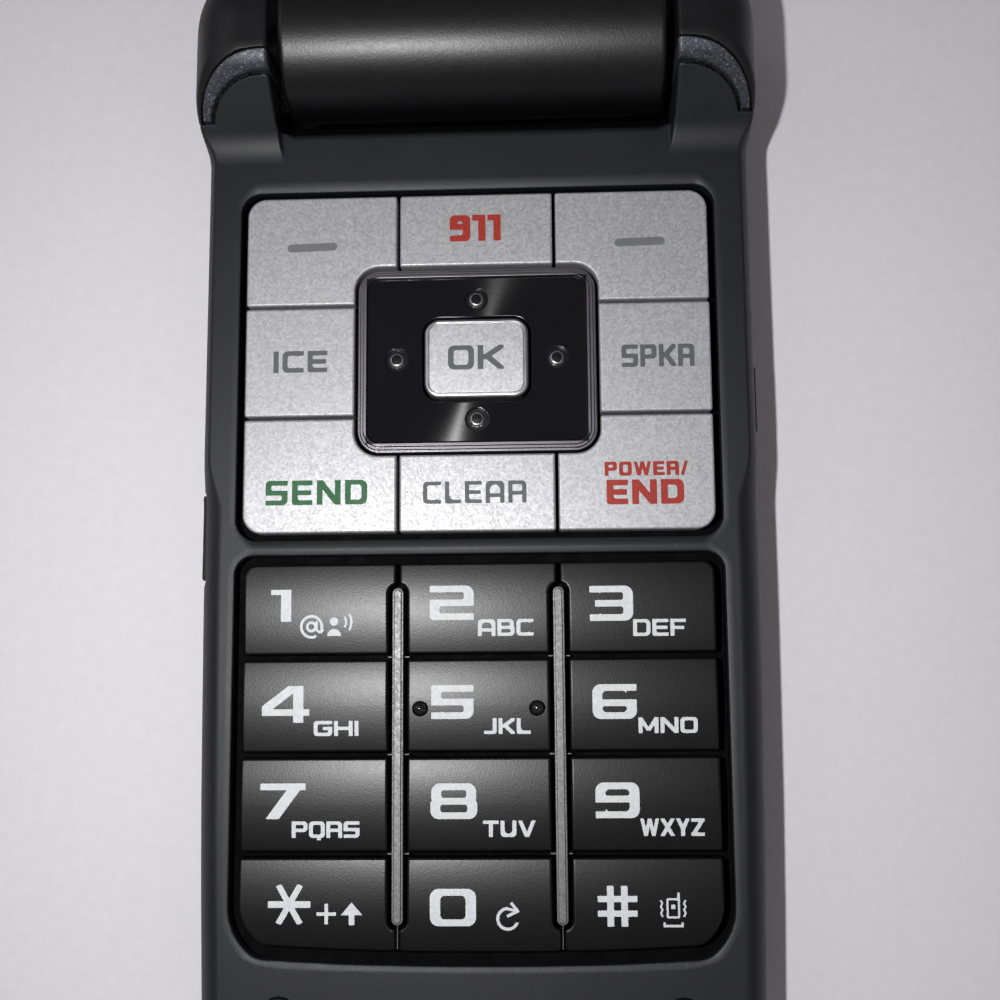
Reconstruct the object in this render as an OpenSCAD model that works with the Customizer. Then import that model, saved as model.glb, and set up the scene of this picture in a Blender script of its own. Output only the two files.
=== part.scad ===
// Flip phone with a hinged lid, held open, resting on its back.
// Frame: origin at the centre of the back resting face, X to the right,
// Y towards the hinge and the open lid, Z up out of the keypad. Millimetres.

/* [Base] */
// Width of the base across its sides, beside the soft keys
body_w = 49.4; // [49.2:0.1:49.6]
// Thickness of the base, from the back to the keypad deck
deck_z = 9.2; // [9.1:0.05:9.3]
// Height of the joint between the back housing and the front housing
split_z = 5.3; // [5.2:0.05:5.35]
// Bottom end of the base
end_y = -46.9; // [-47.4:0.1:-46.4]
// Wall thickness of the plastic housings
wall = 1.2; // [1.0:0.05:1.3]

/* [Hinge] */
// Position of the hinge axis along the phone
hinge_y = 44; // [43.8:0.1:44.4]
// Height of the hinge axis above the back
hinge_z = 8.7; // [8.6:0.05:8.8]
// Radius of the lid's hinge barrel
barrel_r = 6.7; // [6.5:0.05:6.75]
// Half the length of the lid's hinge barrel
barrel_l = 17.1; // [16.8:0.05:17.15]
// Angle of the lid from closed to its open stop
open_angle = 160; // [150:1:165]

/* [Keypad] */
// Travel of each key
key_travel = 0.35; // [0.2:0.05:0.35]
// Height of the silver keys' faces
silver_z = 9.45; // [9.3:0.05:9.55]
// Height of the number keys' faces
number_z = 9.35; // [9.25:0.05:9.45]
// Pitch of the number key rows
row_pitch = 8.3; // [8.25:0.01:8.32]
// Height of one number key
row_h = 7.7; // [7.5:0.05:7.75]
// Distance of the two divider bars from the middle
bar_x = 6.95; // [6.9:0.01:7.0]

/* [Lid] */
// Height of the lid's inner face above the back when closed
lid_in = 10.05; // [10.05:0.05:10.2]
// Height of the lid's outer face above the back when closed
lid_out = 17.5; // [17.3:0.1:17.8]

/* [Hidden] */
$fn = 48;
e = 0.01;

hw = body_w / 2;          // half width beside the soft keys
hw_low = hw - 0.65;       // half width near the bottom end
ear_hw = hw + 0.15;       // half width at the hinge ears
ear_x = 17.85;            // inner face of the hinge ears
back_y = hinge_y + barrel_r;
skin = 1.2;               // deck skin thickness
web_z = 6.75;             // underside of the silicone web
cap_z = 7.65;             // underside of the key caps
post_z = 6.85;            // tip of the key actuators
pcb_z = split_z + 0.05;   // underside of the main board
pcb_t = 0.7;

// key layout
silver_hx = 20.65;
silver_y0 = -1.15;
silver_y1 = 29.35;
row_a = 19.2;             // joint between the first and second silver rows
row_b = 9.1;              // joint between the second and third silver rows
gap2 = 0.15;              // half the gap between silver keys
nav_y = 14.2;             // centre of the navigation pad
nav_hx = 10.87;
nav_hy = 8.58;
nav_z = 9.45;             // face of the navigation ring
nav_pivot_x = 7.37;       // axis on which the carrier rocks
nav_pivot_y = 8.2;        // axis on which the ring rocks on the carrier
num_hx = 20.3;
num_y1 = -3.95;           // top of the first number row
well_hx = 21.3;
bar_w = 0.96;
bar_y1 = -6.0;
bar_y0 = -34.3;

function arc(cx, cy, r, a0, a1, n) =
  [for (i = [0:n]) [cx + r * cos(a0 + (a1 - a0) * i / n), cy + r * sin(a0 + (a1 - a0) * i / n)]];
function flip(pts) = [for (i = [len(pts) - 1:-1:0]) [-pts[i][0], pts[i][1]]];

// right half of the base outline, inset by d
function base_half(d) = concat(
  [[0, end_y + d]],
  arc(hw_low - 6, end_y + 6.3, 6 - d, -87, 0, 8),
  [[hw - 0.18 - d, -24], [hw - d, -7], [hw - d, 33.5], [ear_hw - d, 36]],
  arc(ear_hw - 4.8, back_y - 4.8, 4.8 - d, 0, 90, 8));
module base_outline(d = 0) { polygon(concat(base_half(d), flip(base_half(d)))); }

// right half of the lid outline in the closed position, inset by d
function lid_half(d, top) = concat(
  [[0, end_y + d]],
  arc(hw_low - 6, end_y + 6.3, 6 - d, -87, 0, 8),
  [[hw - 0.18 - d, -24], [hw - d, -7], [hw - d, 26.5]],
  arc(hw - 2, top - 2, 2 - d, 0, 90, 4));
module lid_outline(d = 0, top = 30.5) { polygon(concat(lid_half(d, top - d + d), flip(lid_half(d, top)))); }

module rrect(x0, y0, x1, y1, r) {
  translate([x0 + r, y0]) square([x1 - x0 - 2 * r, y1 - y0]);
  translate([x0, y0 + r]) square([x1 - x0, y1 - y0 - 2 * r]);
  for (x = [x0 + r, x1 - r]) for (y = [y0 + r, y1 - r]) translate([x, y]) circle(r);
}
module box(x0, y0, z0, x1, y1, z1) { translate([x0, y0, z0]) cube([x1 - x0, y1 - y0, z1 - z0]); }
module slab(z0, z1) { translate([0, 0, z0]) linear_extrude(z1 - z0) children(); }
module xcyl(x0, x1, r, y = hinge_y, z = hinge_z) {
  translate([x0, y, z]) rotate([0, 90, 0]) cylinder(h = x1 - x0, r = r);
}
// turns the closed lid about the hinge axis to its open stop
module lid_pose() {
  translate([0, hinge_y, hinge_z]) rotate([-open_angle, 0, 0]) translate([0, -hinge_y, -hinge_z]) children();
}

// side view of the base: deck, rise to the ears, round back end
module side_profile() {
  polygon(concat(
    [[end_y - 1, 0], [hinge_y, 0]],
    arc(hinge_y, barrel_r, barrel_r, -80, 0, 8),
    arc(hinge_y, hinge_z, barrel_r, 0, 90, 10),
    [[hinge_y - 3.0, hinge_z + barrel_r], [hinge_y - 3.7, hinge_z + barrel_r - 0.28]],
    arc(hinge_y - 11.33, deck_z + 4, 4, -45, -90, 5),
    [[end_y - 1, deck_z]]));
}
// front view of the ears: their tops fall away to the sides
module ear_profile() {
  polygon(concat([[-ear_hw, -1], [ear_hw, -1]], arc(ear_hw - 5, hinge_z + barrel_r - 5, 5, 0, 90, 8),
    arc(5 - ear_hw, hinge_z + barrel_r - 5, 5, 90, 180, 8)));
}
module base_solid() {
  difference() {
    intersection() {
      slab(0, 17) base_outline();
      rotate([90, 0, 90]) translate([0, 0, -30]) linear_extrude(60) side_profile();
      rotate([90, 0, 0]) translate([0, 0, -60]) linear_extrude(120) ear_profile();
    }
    // room for the lid's barrel between the ears
    box(-ear_x, hinge_y - 14, deck_z, ear_x, back_y + 1, 20);
    box(-ear_x, 41, -1, ear_x, back_y + 1, 20);
    xcyl(-ear_x, ear_x, barrel_r + 0.4);
  }
}
module oval(cx, cy, rx, ry) {
  polygon([for (i = [0:47]) [cx + rx * cos(i * 7.5), cy + ry * sin(i * 7.5)]]);
}
// the part of the plan that belongs to the front housing
module front_plan(grow = 0) {
  translate([-30, end_y - 1]) square([60, 36 + grow - end_y + 1]);
  translate([-ear_x - 0.001, 30]) square([2 * ear_x + 0.002, 9]);
  for (s = [-1, 1]) oval(s * 18.4, 35.6, 5.17 + grow, 3.57 + grow);
}
// the crescent of the trim that sits on each ear
module trim_plan(grow = 0, inner = 0) {
  difference() {
    oval(18.3, 35.9, 6.25 + grow, 5.02 + grow);
    oval(18.4, 35.6, 5.45 - inner, 3.85 - inner);
    translate([0, 20]) square([40, 16.2 - grow]);
    translate([0, 20]) square([ear_x, 30]);
  }
}
trim_z = 9.4;

module well_silver() { rrect(-well_hx, -1.75, well_hx, 30.0, 1.9); }
module bow(y) { translate([0, y + 300]) circle(300, $fn = 720); }
module well_number() {
  intersection() {
    union() {
      rrect(-well_hx, -20, well_hx, -3.1, 1.6);
      rrect(-well_hx, -37.7, well_hx, -12, 5.0);
    }
    bow(-37.62);
  }
}

module front_housing() {
  color([0.17, 0.17, 0.18]) difference() {
    union() {
      difference() {
        intersection() { base_solid(); slab(split_z, 18) front_plan(); }
        // inside of the shell
        slab(split_z - e, deck_z - skin) difference() {
          base_outline(wall);
          translate([-30, 31.5]) square([60, 30]);
        }
        box(-16.4, 30, split_z - e, 16.4, 34.7, deck_z - skin);
        // rounded edge of the deck in front of the barrel
        xcyl(-ear_x, ear_x, barrel_r + 1.6);
      }
      // screw pillars at the bottom end
      for (s = [-1, 1]) translate([s * 19.2, -42.4, split_z]) cylinder(h = deck_z - split_z - 0.4, r = 2.1);
    }
    slab(6, 12) well_silver();
    slab(6, 12) well_number();
    for (s = [-1, 1]) {
      translate([s * 21, 33.4, split_z - e]) cylinder(h = 3.1, r = 0.72);
      translate([s * 19.2, -42.4, split_z - e]) cylinder(h = 3.1, r = 0.72);
      translate([s * 16.85, -41.6, deck_z - 0.6]) cylinder(h = 2, r = 1.5);
    }
    // microphone hole
    translate([0, -43.6, 6]) cylinder(h = 5, r = 0.5);
    // windows of the side keys
    box(-26, -5.2, 5.9, -22, 2.7, 7.7);
    box(22, 7.4, 5.9, 26, 13.7, 7.7);
  }
}

module back_housing() {
  color([0.13, 0.13, 0.14]) difference() {
    union() {
      intersection() { base_solid(); slab(-e, split_z) translate([-30, -60]) square([60, 120]); }
      difference() {
        intersection() { base_solid(); slab(split_z - e, 18) translate([-30, 30]) square([60, 30]); }
        slab(split_z - 2 * e, 19) front_plan(0.05);
      }
    }
    // seat of the trim on each ear
    for (s = [0, 1]) mirror([s, 0, 0]) slab(trim_z, 19) trim_plan(0.2, 0.35);
    for (s = [0, 1]) mirror([s, 0, 0]) slab(trim_z, 19) intersection() {
      oval(18.3, 35.9, 6.25, 5.02);
      translate([ear_x - 0.5, 30]) square([12, 6.4]);
    }
    // recess, grooves and mouth of the battery cover
    box(-21.0, end_y - 1, -1, 21.0, 12.2, 1.05);
    box(-21.75, end_y - 1, 0.35, 21.75, 12.2, 0.9);
    // battery bay, open to the back
    box(-17.25, -38.3, -1, 17.25, 9.3, 4.8);
    // window for the battery contacts
    box(-4.3, 9.2, 1.3, 4.3, 12.6, split_z + 1);
    // pocket above the battery for the speaker, motor and antenna
    box(-22.2, 10.6, 1.1, 22.2, 30.6, split_z + 1);
    // pocket at the bottom end
    slab(1.9, split_z + 1) intersection() {
      base_outline(wall);
      translate([-16.4, -50]) square([32.8, 10.7]);
    }
    // mouth of the charge connector
    box(-4.3, end_y - 1, 2.2, 4.3, -44, 5.0);
    // loudspeaker slots
    for (i = [-2:2]) box(-16, 18.5 + i * 1.9 - 0.45, -1, -10, 18.5 + i * 1.9 + 0.45, 2);
    // screw holes with seats for the heads
    for (s = [-1, 1]) {
      translate([s * 21, 33.4, -1]) cylinder(h = 2.2, r = 1.5);
      translate([s * 21, 33.4, -1]) cylinder(h = 8, r = 0.8);
      translate([s * 19.2, -42.4, 0]) cylinder(h = 2.2, r = 1.5);
      translate([s * 19.2, -42.4, 0]) cylinder(h = 8, r = 0.8);
    }
    // seats of the hinge shaft and the hinge pin
    xcyl(ear_x - 1, 21.2, 2.6);
    xcyl(-21.2, -ear_x + 1, 1.9);
  }
}

module hinge_trim() {
  color([0.30, 0.31, 0.35]) intersection() {
    base_solid();
    slab(trim_z, 18) trim_plan();
  }
}
module hinge_trim_right() { hinge_trim(); }
module hinge_trim_left() { mirror([1, 0, 0]) hinge_trim(); }

module battery_cover() {
  color([0.14, 0.14, 0.15]) difference() {
    union() {
      slab(0, 0.95) intersection() {
        base_outline(0.05);
        translate([-20.8, -60]) square([41.6, 72]);
      }
      // tongues that run in the housing's grooves
      for (s = [-1, 1]) box(min(s * 20.5, s * 21.6), -40, 0.45, max(s * 20.5, s * 21.6), 11.5, 0.8);
    }
    // finger ridges at the bottom end
    for (i = [0:4]) box(-6, -42 + i * 1.3, -e, 6, -41.5 + i * 1.3, 0.2);
  }
}

module battery() { color([0.25, 0.25, 0.28]) slab(1.15, 4.7) rrect(-17, -38, 17, 9.1, 1.0); }

module battery_contacts() {
  color([0.85, 0.70, 0.30]) {
    box(-4.0, 9.45, 1.5, 4.0, 12.2, 5.2);
    for (x = [-2.6, 0, 2.6]) box(x - 0.4, 9.15, 2.2, x + 0.4, 9.45, 3.6);
  }
}

module main_pcb() {
  color([0.10, 0.32, 0.18]) {
    box(-21.8, -39.8, pcb_z, 21.8, 30.2, pcb_z + pcb_t);
    box(-16, 30.2, pcb_z, 16, 34.4, pcb_z + pcb_t);
  }
}

module shield_can() { color([0.75, 0.75, 0.77]) box(-3.5, 17, 3.3, 18.5, 24.6, pcb_z); }

// centres of the contacts under the keys
function key_spots() = concat(
  [[-13.85, 24.6], [0, 26.1], [13.85, 24.6], [-15.8, nav_y], [15.8, nav_y],
   [-13.85, 3.4], [0, 2.2], [13.85, 3.4], [0, nav_y]],
  [for (r = [0:3]) for (c = [-1:1]) [c * 13.85, num_y1 - row_h / 2 - r * row_pitch]]);
function nav_spots() = [[-7.1, nav_y], [7.1, nav_y], [0, nav_y + 5.5], [0, nav_y - 5.5]];

module dome_sheet() {
  color([0.80, 0.80, 0.82]) {
    box(-21, -38, pcb_z + pcb_t, 21, 29.8, pcb_z + pcb_t + 0.12);
    for (p = key_spots()) translate([p[0], p[1], pcb_z + pcb_t + 0.1]) cylinder(h = 0.2, r = 2);
    for (p = nav_spots()) translate([p[0], p[1], pcb_z + pcb_t + 0.1]) cylinder(h = 0.2, r = 1.5);
  }
}

module keypad_web() {
  color([0.20, 0.20, 0.22]) {
    difference() {
      box(-21.8, -38.8, web_z, 21.8, 31.2, web_z + 0.35);
      for (p = key_spots()) translate([p[0], p[1], web_z - 1]) cylinder(h = 3, r = 1.6);
      for (p = nav_spots()) translate([p[0], p[1], web_z - 1]) cylinder(h = 3, r = 1.5);
    }
    // rim that seals against the housing
    difference() {
      box(-21.8, -38.8, pcb_z + pcb_t, 21.8, 31.2, deck_z - skin);
      box(-21.35, -38.35, 0, 21.35, 30.75, 12);
      box(-30, 29.9, 0, 30, 32, pcb_z + pcb_t + 0.1);
    }
  }
}

module post(x, y, z1) { translate([x, y, post_z]) cylinder(h = z1 - post_z, r = 1.1); }
module nav_hole() { rrect(-nav_hx, nav_y - nav_hy, nav_hx, nav_y + nav_hy, 2.2); }
silver = [0.72, 0.73, 0.75];

module soft_key() {
  slab(cap_z, silver_z) difference() {
    union() {
      translate([7.1, row_a + gap2]) square([silver_hx - 7.1 - 1.6, silver_y1 - row_a - gap2]);
      translate([7.1, row_a + gap2]) square([silver_hx - 7.1, silver_y1 - row_a - gap2 - 1.6]);
      translate([silver_hx - 1.6, silver_y1 - 1.6]) circle(1.6);
    }
    nav_hole();
  }
  post(13.85, 24.6, cap_z + e);
}
module soft_key_right() { color(silver) soft_key(); }
module soft_key_left() { color(silver) mirror([1, 0, 0]) soft_key(); }
module call_key() {
  slab(cap_z, silver_z) difference() {
    union() {
      translate([7.1, silver_y0]) square([silver_hx - 7.1 - 1.6, row_b - gap2 - silver_y0]);
      translate([7.1, silver_y0 + 1.6]) square([silver_hx - 7.1, row_b - gap2 - silver_y0 - 1.6]);
      translate([silver_hx - 1.6, silver_y0 + 1.6]) circle(1.6);
    }
    nav_hole();
  }
  post(13.85, 3.4, cap_z + e);
}
module end_key() { color(silver) call_key(); }
module send_key() { color(silver) mirror([1, 0, 0]) call_key(); }
module emergency_key() {
  color(silver) { box(-6.82, nav_y + nav_hy, cap_z, 6.82, silver_y1, silver_z); post(0, 26.1, cap_z + e); }
}
module clear_key() {
  color(silver) { box(-6.82, silver_y0, cap_z, 6.82, nav_y - nav_hy, silver_z); post(0, 2.2, cap_z + e); }
}
module middle_key() {
  box(nav_hx, row_b + gap2, cap_z, silver_hx, row_a - gap2, silver_z);
  post(15.8, nav_y, cap_z + e);
}
module speaker_key() { color(silver) middle_key(); }
module contact_key() { color(silver) mirror([1, 0, 0]) middle_key(); }

module ok_key() {
  color([0.78, 0.79, 0.81]) {
    slab(7.9, 9.75) rrect(-4.6, nav_y - 3.55, 4.6, nav_y + 3.55, 1.0);
    post(0, nav_y, 7.9 + e);
  }
}
module nav_ring() {
  color([0.08, 0.08, 0.09]) {
    slab(8.35, nav_z) difference() {
      rrect(-nav_hx + 0.27, nav_y - nav_hy + 0.27, nav_hx - 0.27, nav_y + nav_hy - 0.27, 2.0);
      rrect(-4.85, nav_y - 3.8, 4.85, nav_y + 3.8, 1.2);
    }
    for (s = [-1, 1]) translate([s * 7.1, nav_y, post_z]) cylinder(h = 1.6, r = 0.8);
    // round ridges on which the ring rocks sideways
    for (s = [-1, 1]) translate([0, nav_y + s * 6 + 0.8, nav_pivot_y]) rotate([90, 0, 0]) cylinder(h = 1.6, r = 0.18);
  }
}
module nav_collar() {
  color([0.25, 0.25, 0.27]) {
    slab(7.6, 8.0) difference() {
      rrect(-9.6, nav_y - 7.2, 9.6, nav_y + 7.2, 1.5);
      rrect(-5.0, nav_y - 3.95, 5.0, nav_y + 3.95, 1.3);
      for (s = [-1, 1]) translate([s * 7.1, nav_y]) circle(1.3);
    }
    for (s = [-1, 1]) translate([0, nav_y + s * 5.5, post_z + 0.05]) cylinder(h = 0.8, r = 0.8);
    // round ridges on which the carrier rocks up and down
    for (s = [-1, 1]) xcyl(s * 9.05 - 0.45, s * 9.05 + 0.45, 0.25, nav_y, nav_pivot_x);
  }
}

// plan of one number key: column c is -1, 0 or 1, row r is 0 to 3
module number_plan(c, r) {
  y1 = num_y1 - r * row_pitch;
  x0 = c == -1 ? -num_hx : (c == 0 ? -bar_x + 0.15 : bar_x + 0.15);
  x1 = c == 1 ? num_hx : (c == 0 ? bar_x - 0.15 : -bar_x - 0.15);
  difference() {
    intersection() {
      translate([x0, y1 - row_h]) square([x1 - x0, row_h]);
      union() {
        translate([-num_hx, -32]) square([2 * num_hx, 40]);
        rrect(-num_hx, -36.6, num_hx, -20, 4.2);
      }
      bow(-36.55);
    }
    for (s = [-1, 1]) bar_plan(s * bar_x, 0.35);
  }
}
module bar_plan(x, grow = 0) {
  r = bar_w / 2 + grow;
  translate([x - r, bar_y0 + bar_w / 2]) square([2 * r, bar_y1 - bar_y0 - bar_w]);
  for (y = [bar_y0 + bar_w / 2, bar_y1 - bar_w / 2]) translate([x, y]) circle(r);
}
module number_key(c, r) {
  color([0.07, 0.07, 0.08]) {
    slab(cap_z, number_z) number_plan(c, r);
    post(c * 13.85, num_y1 - row_h / 2 - r * row_pitch, cap_z + e);
  }
}
module key_1() { number_key(-1, 0); }
module key_2() { number_key(0, 0); }
module key_3() { number_key(1, 0); }
module key_4() { number_key(-1, 1); }
module key_5() { number_key(0, 1); }
module key_6() { number_key(1, 1); }
module key_7() { number_key(-1, 2); }
module key_8() { number_key(0, 2); }
module key_9() { number_key(1, 2); }
module key_star() { number_key(-1, 3); }
module key_0() { number_key(0, 3); }
module key_hash() { number_key(1, 3); }

module divider_bars() {
  color([0.55, 0.55, 0.56]) for (s = [-1, 1]) slab(web_z + 0.35, number_z - 0.05) bar_plan(s * bar_x);
}

// a side key, its face at x = 0, pointing to -X
module side_button(y0, y1) {
  box(0, y0 + 0.15, 6.0, 1.5, y1 - 0.15, 7.6);
  box(1.45, y0 - 0.4, 5.65, 1.85, y1 + 0.4, 7.9);
}
module volume_key() { color([0.12, 0.12, 0.13]) translate([-ear_hw - 0.07, 0, 0]) side_button(-5.2, 2.7); }
module side_key() { color([0.12, 0.12, 0.13]) mirror([1, 0, 0]) translate([-ear_hw - 0.07, 0, 0]) side_button(7.4, 13.7); }
module side_switches() {
  color([0.75, 0.65, 0.35]) {
    for (y = [-3.3, 0.8]) box(-22.6, y - 1.2, pcb_z + 0.3, -21.85, y + 1.2, 7.6);
    box(21.85, 9, pcb_z + 0.3, 22.6, 12.2, 7.6);
  }
}

module deck_bumpers() {
  color([0.06, 0.06, 0.06]) for (s = [-1, 1]) translate([s * 16.85, -41.6, deck_z - 0.6]) {
    cylinder(h = 0.95, r = 1.45);
    cylinder(h = 1.33, r = 1.0);
  }
}

module charge_connector() {
  color([0.78, 0.78, 0.80]) difference() {
    box(-4.0, -46.6, 2.4, 4.0, -40.2, 4.85);
    box(-3.5, -47, 2.8, 3.5, -42, 4.5);
  }
  color([0.15, 0.15, 0.16]) box(-2.9, -46.2, 3.3, 2.9, -41.9, 3.8);
}
module microphone() { color([0.70, 0.68, 0.60]) translate([0, -43.6, 5.4]) cylinder(h = 1.6, r = 1.6); }
module loudspeaker() {
  color([0.15, 0.15, 0.16]) translate([-13, 18.5, 1.15]) { cylinder(h = 2.9, r = 6.5); cylinder(h = 3.5, r = 4.2); }
}
module vibration_motor() {
  color([0.80, 0.80, 0.82]) {
    xcyl(5, 13, 1.9, 14.2, 3.1);
    xcyl(12.9, 16, 0.4, 14.2, 3.1);
    intersection() { xcyl(14, 16.5, 1.8, 14.2, 3.1); box(13, 12, 3.1, 17, 16.4, 5.2); }
  }
}
module antenna_carrier() { color([0.85, 0.82, 0.72]) box(-20.5, 26, 1.15, 20.5, 30.3, 3.6); }

module housing_screw(z0, z1) {
  difference() {
    union() { cylinder(h = 1.0, r = 1.35); translate([0, 0, 0.9]) cylinder(h = z1 - z0 - 0.9, r = 0.7); }
    for (a = [0, 90]) rotate(a) translate([-0.7, -0.13, -e]) cube([1.4, 0.26, 0.5]);
  }
}
module housing_screws() {
  color([0.35, 0.35, 0.37]) for (s = [-1, 1]) {
    translate([s * 21, 33.4, 0.15]) housing_screw(0.15, 8.2);
    translate([s * 19.2, -42.4, 1.12]) housing_screw(1.12, 8.2);
  }
}

module hinge_shaft() {
  color([0.70, 0.70, 0.72]) { xcyl(ear_x + 0.05, 21.1, 2.6); xcyl(7, ear_x + 0.1, 1.5); }
}
module hinge_pin() {
  color([0.70, 0.70, 0.72]) difference() { xcyl(-21.1, -13.6, 1.9); xcyl(-22, -13, 1.2); }
}

// ---- lid, drawn closed and then turned open ----
lid_split = 13.6;
module lid_neck(z0, z1) {
  intersection() {
    rotate([90, 0, 90]) translate([0, 0, -barrel_l]) linear_extrude(2 * barrel_l)
      polygon([[28, lid_in], [hinge_y, lid_in], [hinge_y, hinge_z + barrel_r],
        [hinge_y - 2.5, hinge_z + barrel_r + 0.15], [hinge_y - 5.5, lid_out - 0.9],
        [hinge_y - 9, lid_out - 0.2], [hinge_y - 13, lid_out], [28, lid_out]]);
    box(-30, 0, z0, 30, 60, z1);
  }
}
module lid_inner_closed() {
  difference() {
    union() {
      slab(lid_in, lid_split) lid_outline();
      lid_neck(lid_in, lid_split);
      xcyl(-barrel_l, barrel_l, barrel_r);
    }
    difference() {
      slab(lid_in + 1.15, lid_split + e) lid_outline(wall, 29.4);
      for (s = [-1, 1]) {
        translate([s * 19.4, -42.3, 0]) cylinder(h = 30, r = 2.1);
        translate([s * 20.6, 26, 0]) cylinder(h = 30, r = 2.1);
      }
    }
    // seat and window of the main lens
    slab(lid_in - 1, lid_in + 0.95) rrect(-19.95, -36.15, 19.95, 18.15, 2.1);
    box(-17.6, -31, lid_in - 1, 17.6, 16, lid_split);
    // earpiece slot
    slab(lid_in - 1, lid_in + 2) rrect(-4.5, -41.5, 4.5, -40.3, 0.59);
    // screw seats
    for (s = [-1, 1]) for (p = [[19.4, -42.3], [20.6, 26]]) {
      translate([s * p[0], p[1], lid_in - 1]) cylinder(h = 2.1, r = 1.4);
      translate([s * p[0], p[1], lid_in - 1]) cylinder(h = 6, r = 0.8);
    }
    // bores of the barrel
    xcyl(-14.5, barrel_l + 1, 4.0);
    xcyl(-barrel_l - 1, -14.4, 1.95);
  }
}
module lid_inner_housing() { color([0.12, 0.12, 0.13]) lid_pose() lid_inner_closed(); }

module lid_outer_closed() {
  difference() {
    union() {
      slab(lid_split, lid_out) lid_outline();
      lid_neck(lid_split, lid_out + 1);
    }
    xcyl(-barrel_l - 1, barrel_l + 1, barrel_r);
    difference() {
      slab(lid_split - e, lid_out - 1.2) lid_outline(wall, 29.4);
      for (s = [-1, 1]) {
        translate([s * 19.4, -42.3, 0]) cylinder(h = 30, r = 2.1);
        translate([s * 20.6, 26, 0]) cylinder(h = 30, r = 2.1);
      }
    }
    // seat and window of the outer lens
    slab(lid_out - 0.85, lid_out + 1) rrect(-14.6, -12.1, 14.6, 12.1, 2.1);
    box(-12, -9, lid_out - 2, 12, 9, lid_out + 1);
    // hole of the camera
    translate([0, -26, lid_out - 2]) cylinder(h = 4, r = 3.5);
    for (s = [-1, 1]) for (p = [[19.4, -42.3], [20.6, 26]])
      translate([s * p[0], p[1], lid_split - e]) cylinder(h = 2.4, r = 0.72);
  }
}
module lid_outer_housing() { color([0.15, 0.15, 0.16]) lid_pose() lid_outer_closed(); }

module main_lens() { color([0.03, 0.03, 0.04]) lid_pose() slab(lid_in + 0.05, lid_in + 0.93) rrect(-19.8, -36, 19.8, 18, 2.0); }
module main_display() {
  color([0.20, 0.22, 0.24]) lid_pose() { box(-20.4, -33, lid_in + 1.2, 20.4, 19, lid_in + 2.9); }
}
module outer_lens() { color([0.03, 0.03, 0.04]) lid_pose() slab(lid_out - 0.82, lid_out - 0.05) rrect(-14.45, -11.95, 14.45, 11.95, 2.0); }
module outer_display() { color([0.20, 0.22, 0.24]) lid_pose() box(-13.2, -10.5, lid_out - 2.9, 13.2, 10.5, lid_out - 1.25); }
module earpiece() { color([0.15, 0.15, 0.16]) lid_pose() slab(lid_in + 1.2, lid_in + 3.4) rrect(-6, -44, 6, -38.2, 1.5); }
module lid_pcb() {
  color([0.10, 0.32, 0.18]) lid_pose() slab(lid_in + 3.0, lid_in + 3.6) difference() {
    translate([-20, -37.9]) square([40, 65.9]);
    for (s = [-1, 1]) translate([s * 20.6, 26]) circle(2.3);
  }
}
module camera_module() {
  color([0.10, 0.10, 0.11]) lid_pose() {
    translate([0, -26, lid_in + 3.65]) cylinder(h = lid_out - 1.25 - lid_in - 3.65, r = 4.4);
    translate([0, -26, lid_out - 1.3]) cylinder(h = 1.15, r = 3.4);
  }
}
module lid_magnet() { color([0.60, 0.60, 0.62]) lid_pose() box(-14.5, -44, lid_in + 1.2, -10.5, -41.4, lid_in + 2.6); }

module hinge_module() {
  color([0.66, 0.66, 0.68]) lid_pose() difference() { xcyl(3.0, 17.0, 4.0); xcyl(6, 18, 1.55); }
}
module hinge_flex() {
  color([0.75, 0.50, 0.20]) lid_pose() translate([-12.5, hinge_y, hinge_z]) rotate([0, 90, 0])
    rotate_extrude(angle = 310) translate([3.1, 0]) square([0.18, 13]);
}
module lid_screws() {
  color([0.35, 0.35, 0.37]) lid_pose() for (s = [-1, 1]) for (p = [[19.4, -42.3], [20.6, 26]])
    translate([s * p[0], p[1], lid_in + 0.1]) housing_screw(0, 5.4);
}

front_housing();
back_housing();
hinge_trim_left();
hinge_trim_right();
battery_cover();
battery();
battery_contacts();
main_pcb();
shield_can();
dome_sheet();
keypad_web();
soft_key_left();
emergency_key();
soft_key_right();
contact_key();
speaker_key();
send_key();
clear_key();
end_key();
ok_key();
nav_ring();
nav_collar();
key_1();
key_2();
key_3();
key_4();
key_5();
key_6();
key_7();
key_8();
key_9();
key_star();
key_0();
key_hash();
divider_bars();
volume_key();
side_key();
side_switches();
deck_bumpers();
charge_connector();
microphone();
loudspeaker();
vibration_motor();
antenna_carrier();
housing_screws();
hinge_shaft();
hinge_pin();
lid_inner_housing();
lid_outer_housing();
main_lens();
main_display();
outer_lens();
outer_display();
earpiece();
lid_pcb();
camera_module();
lid_magnet();
hinge_module();
hinge_flex();
lid_screws();
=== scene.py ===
import math
import bpy, bmesh
import numpy as np
from mathutils import Matrix, Vector


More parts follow.
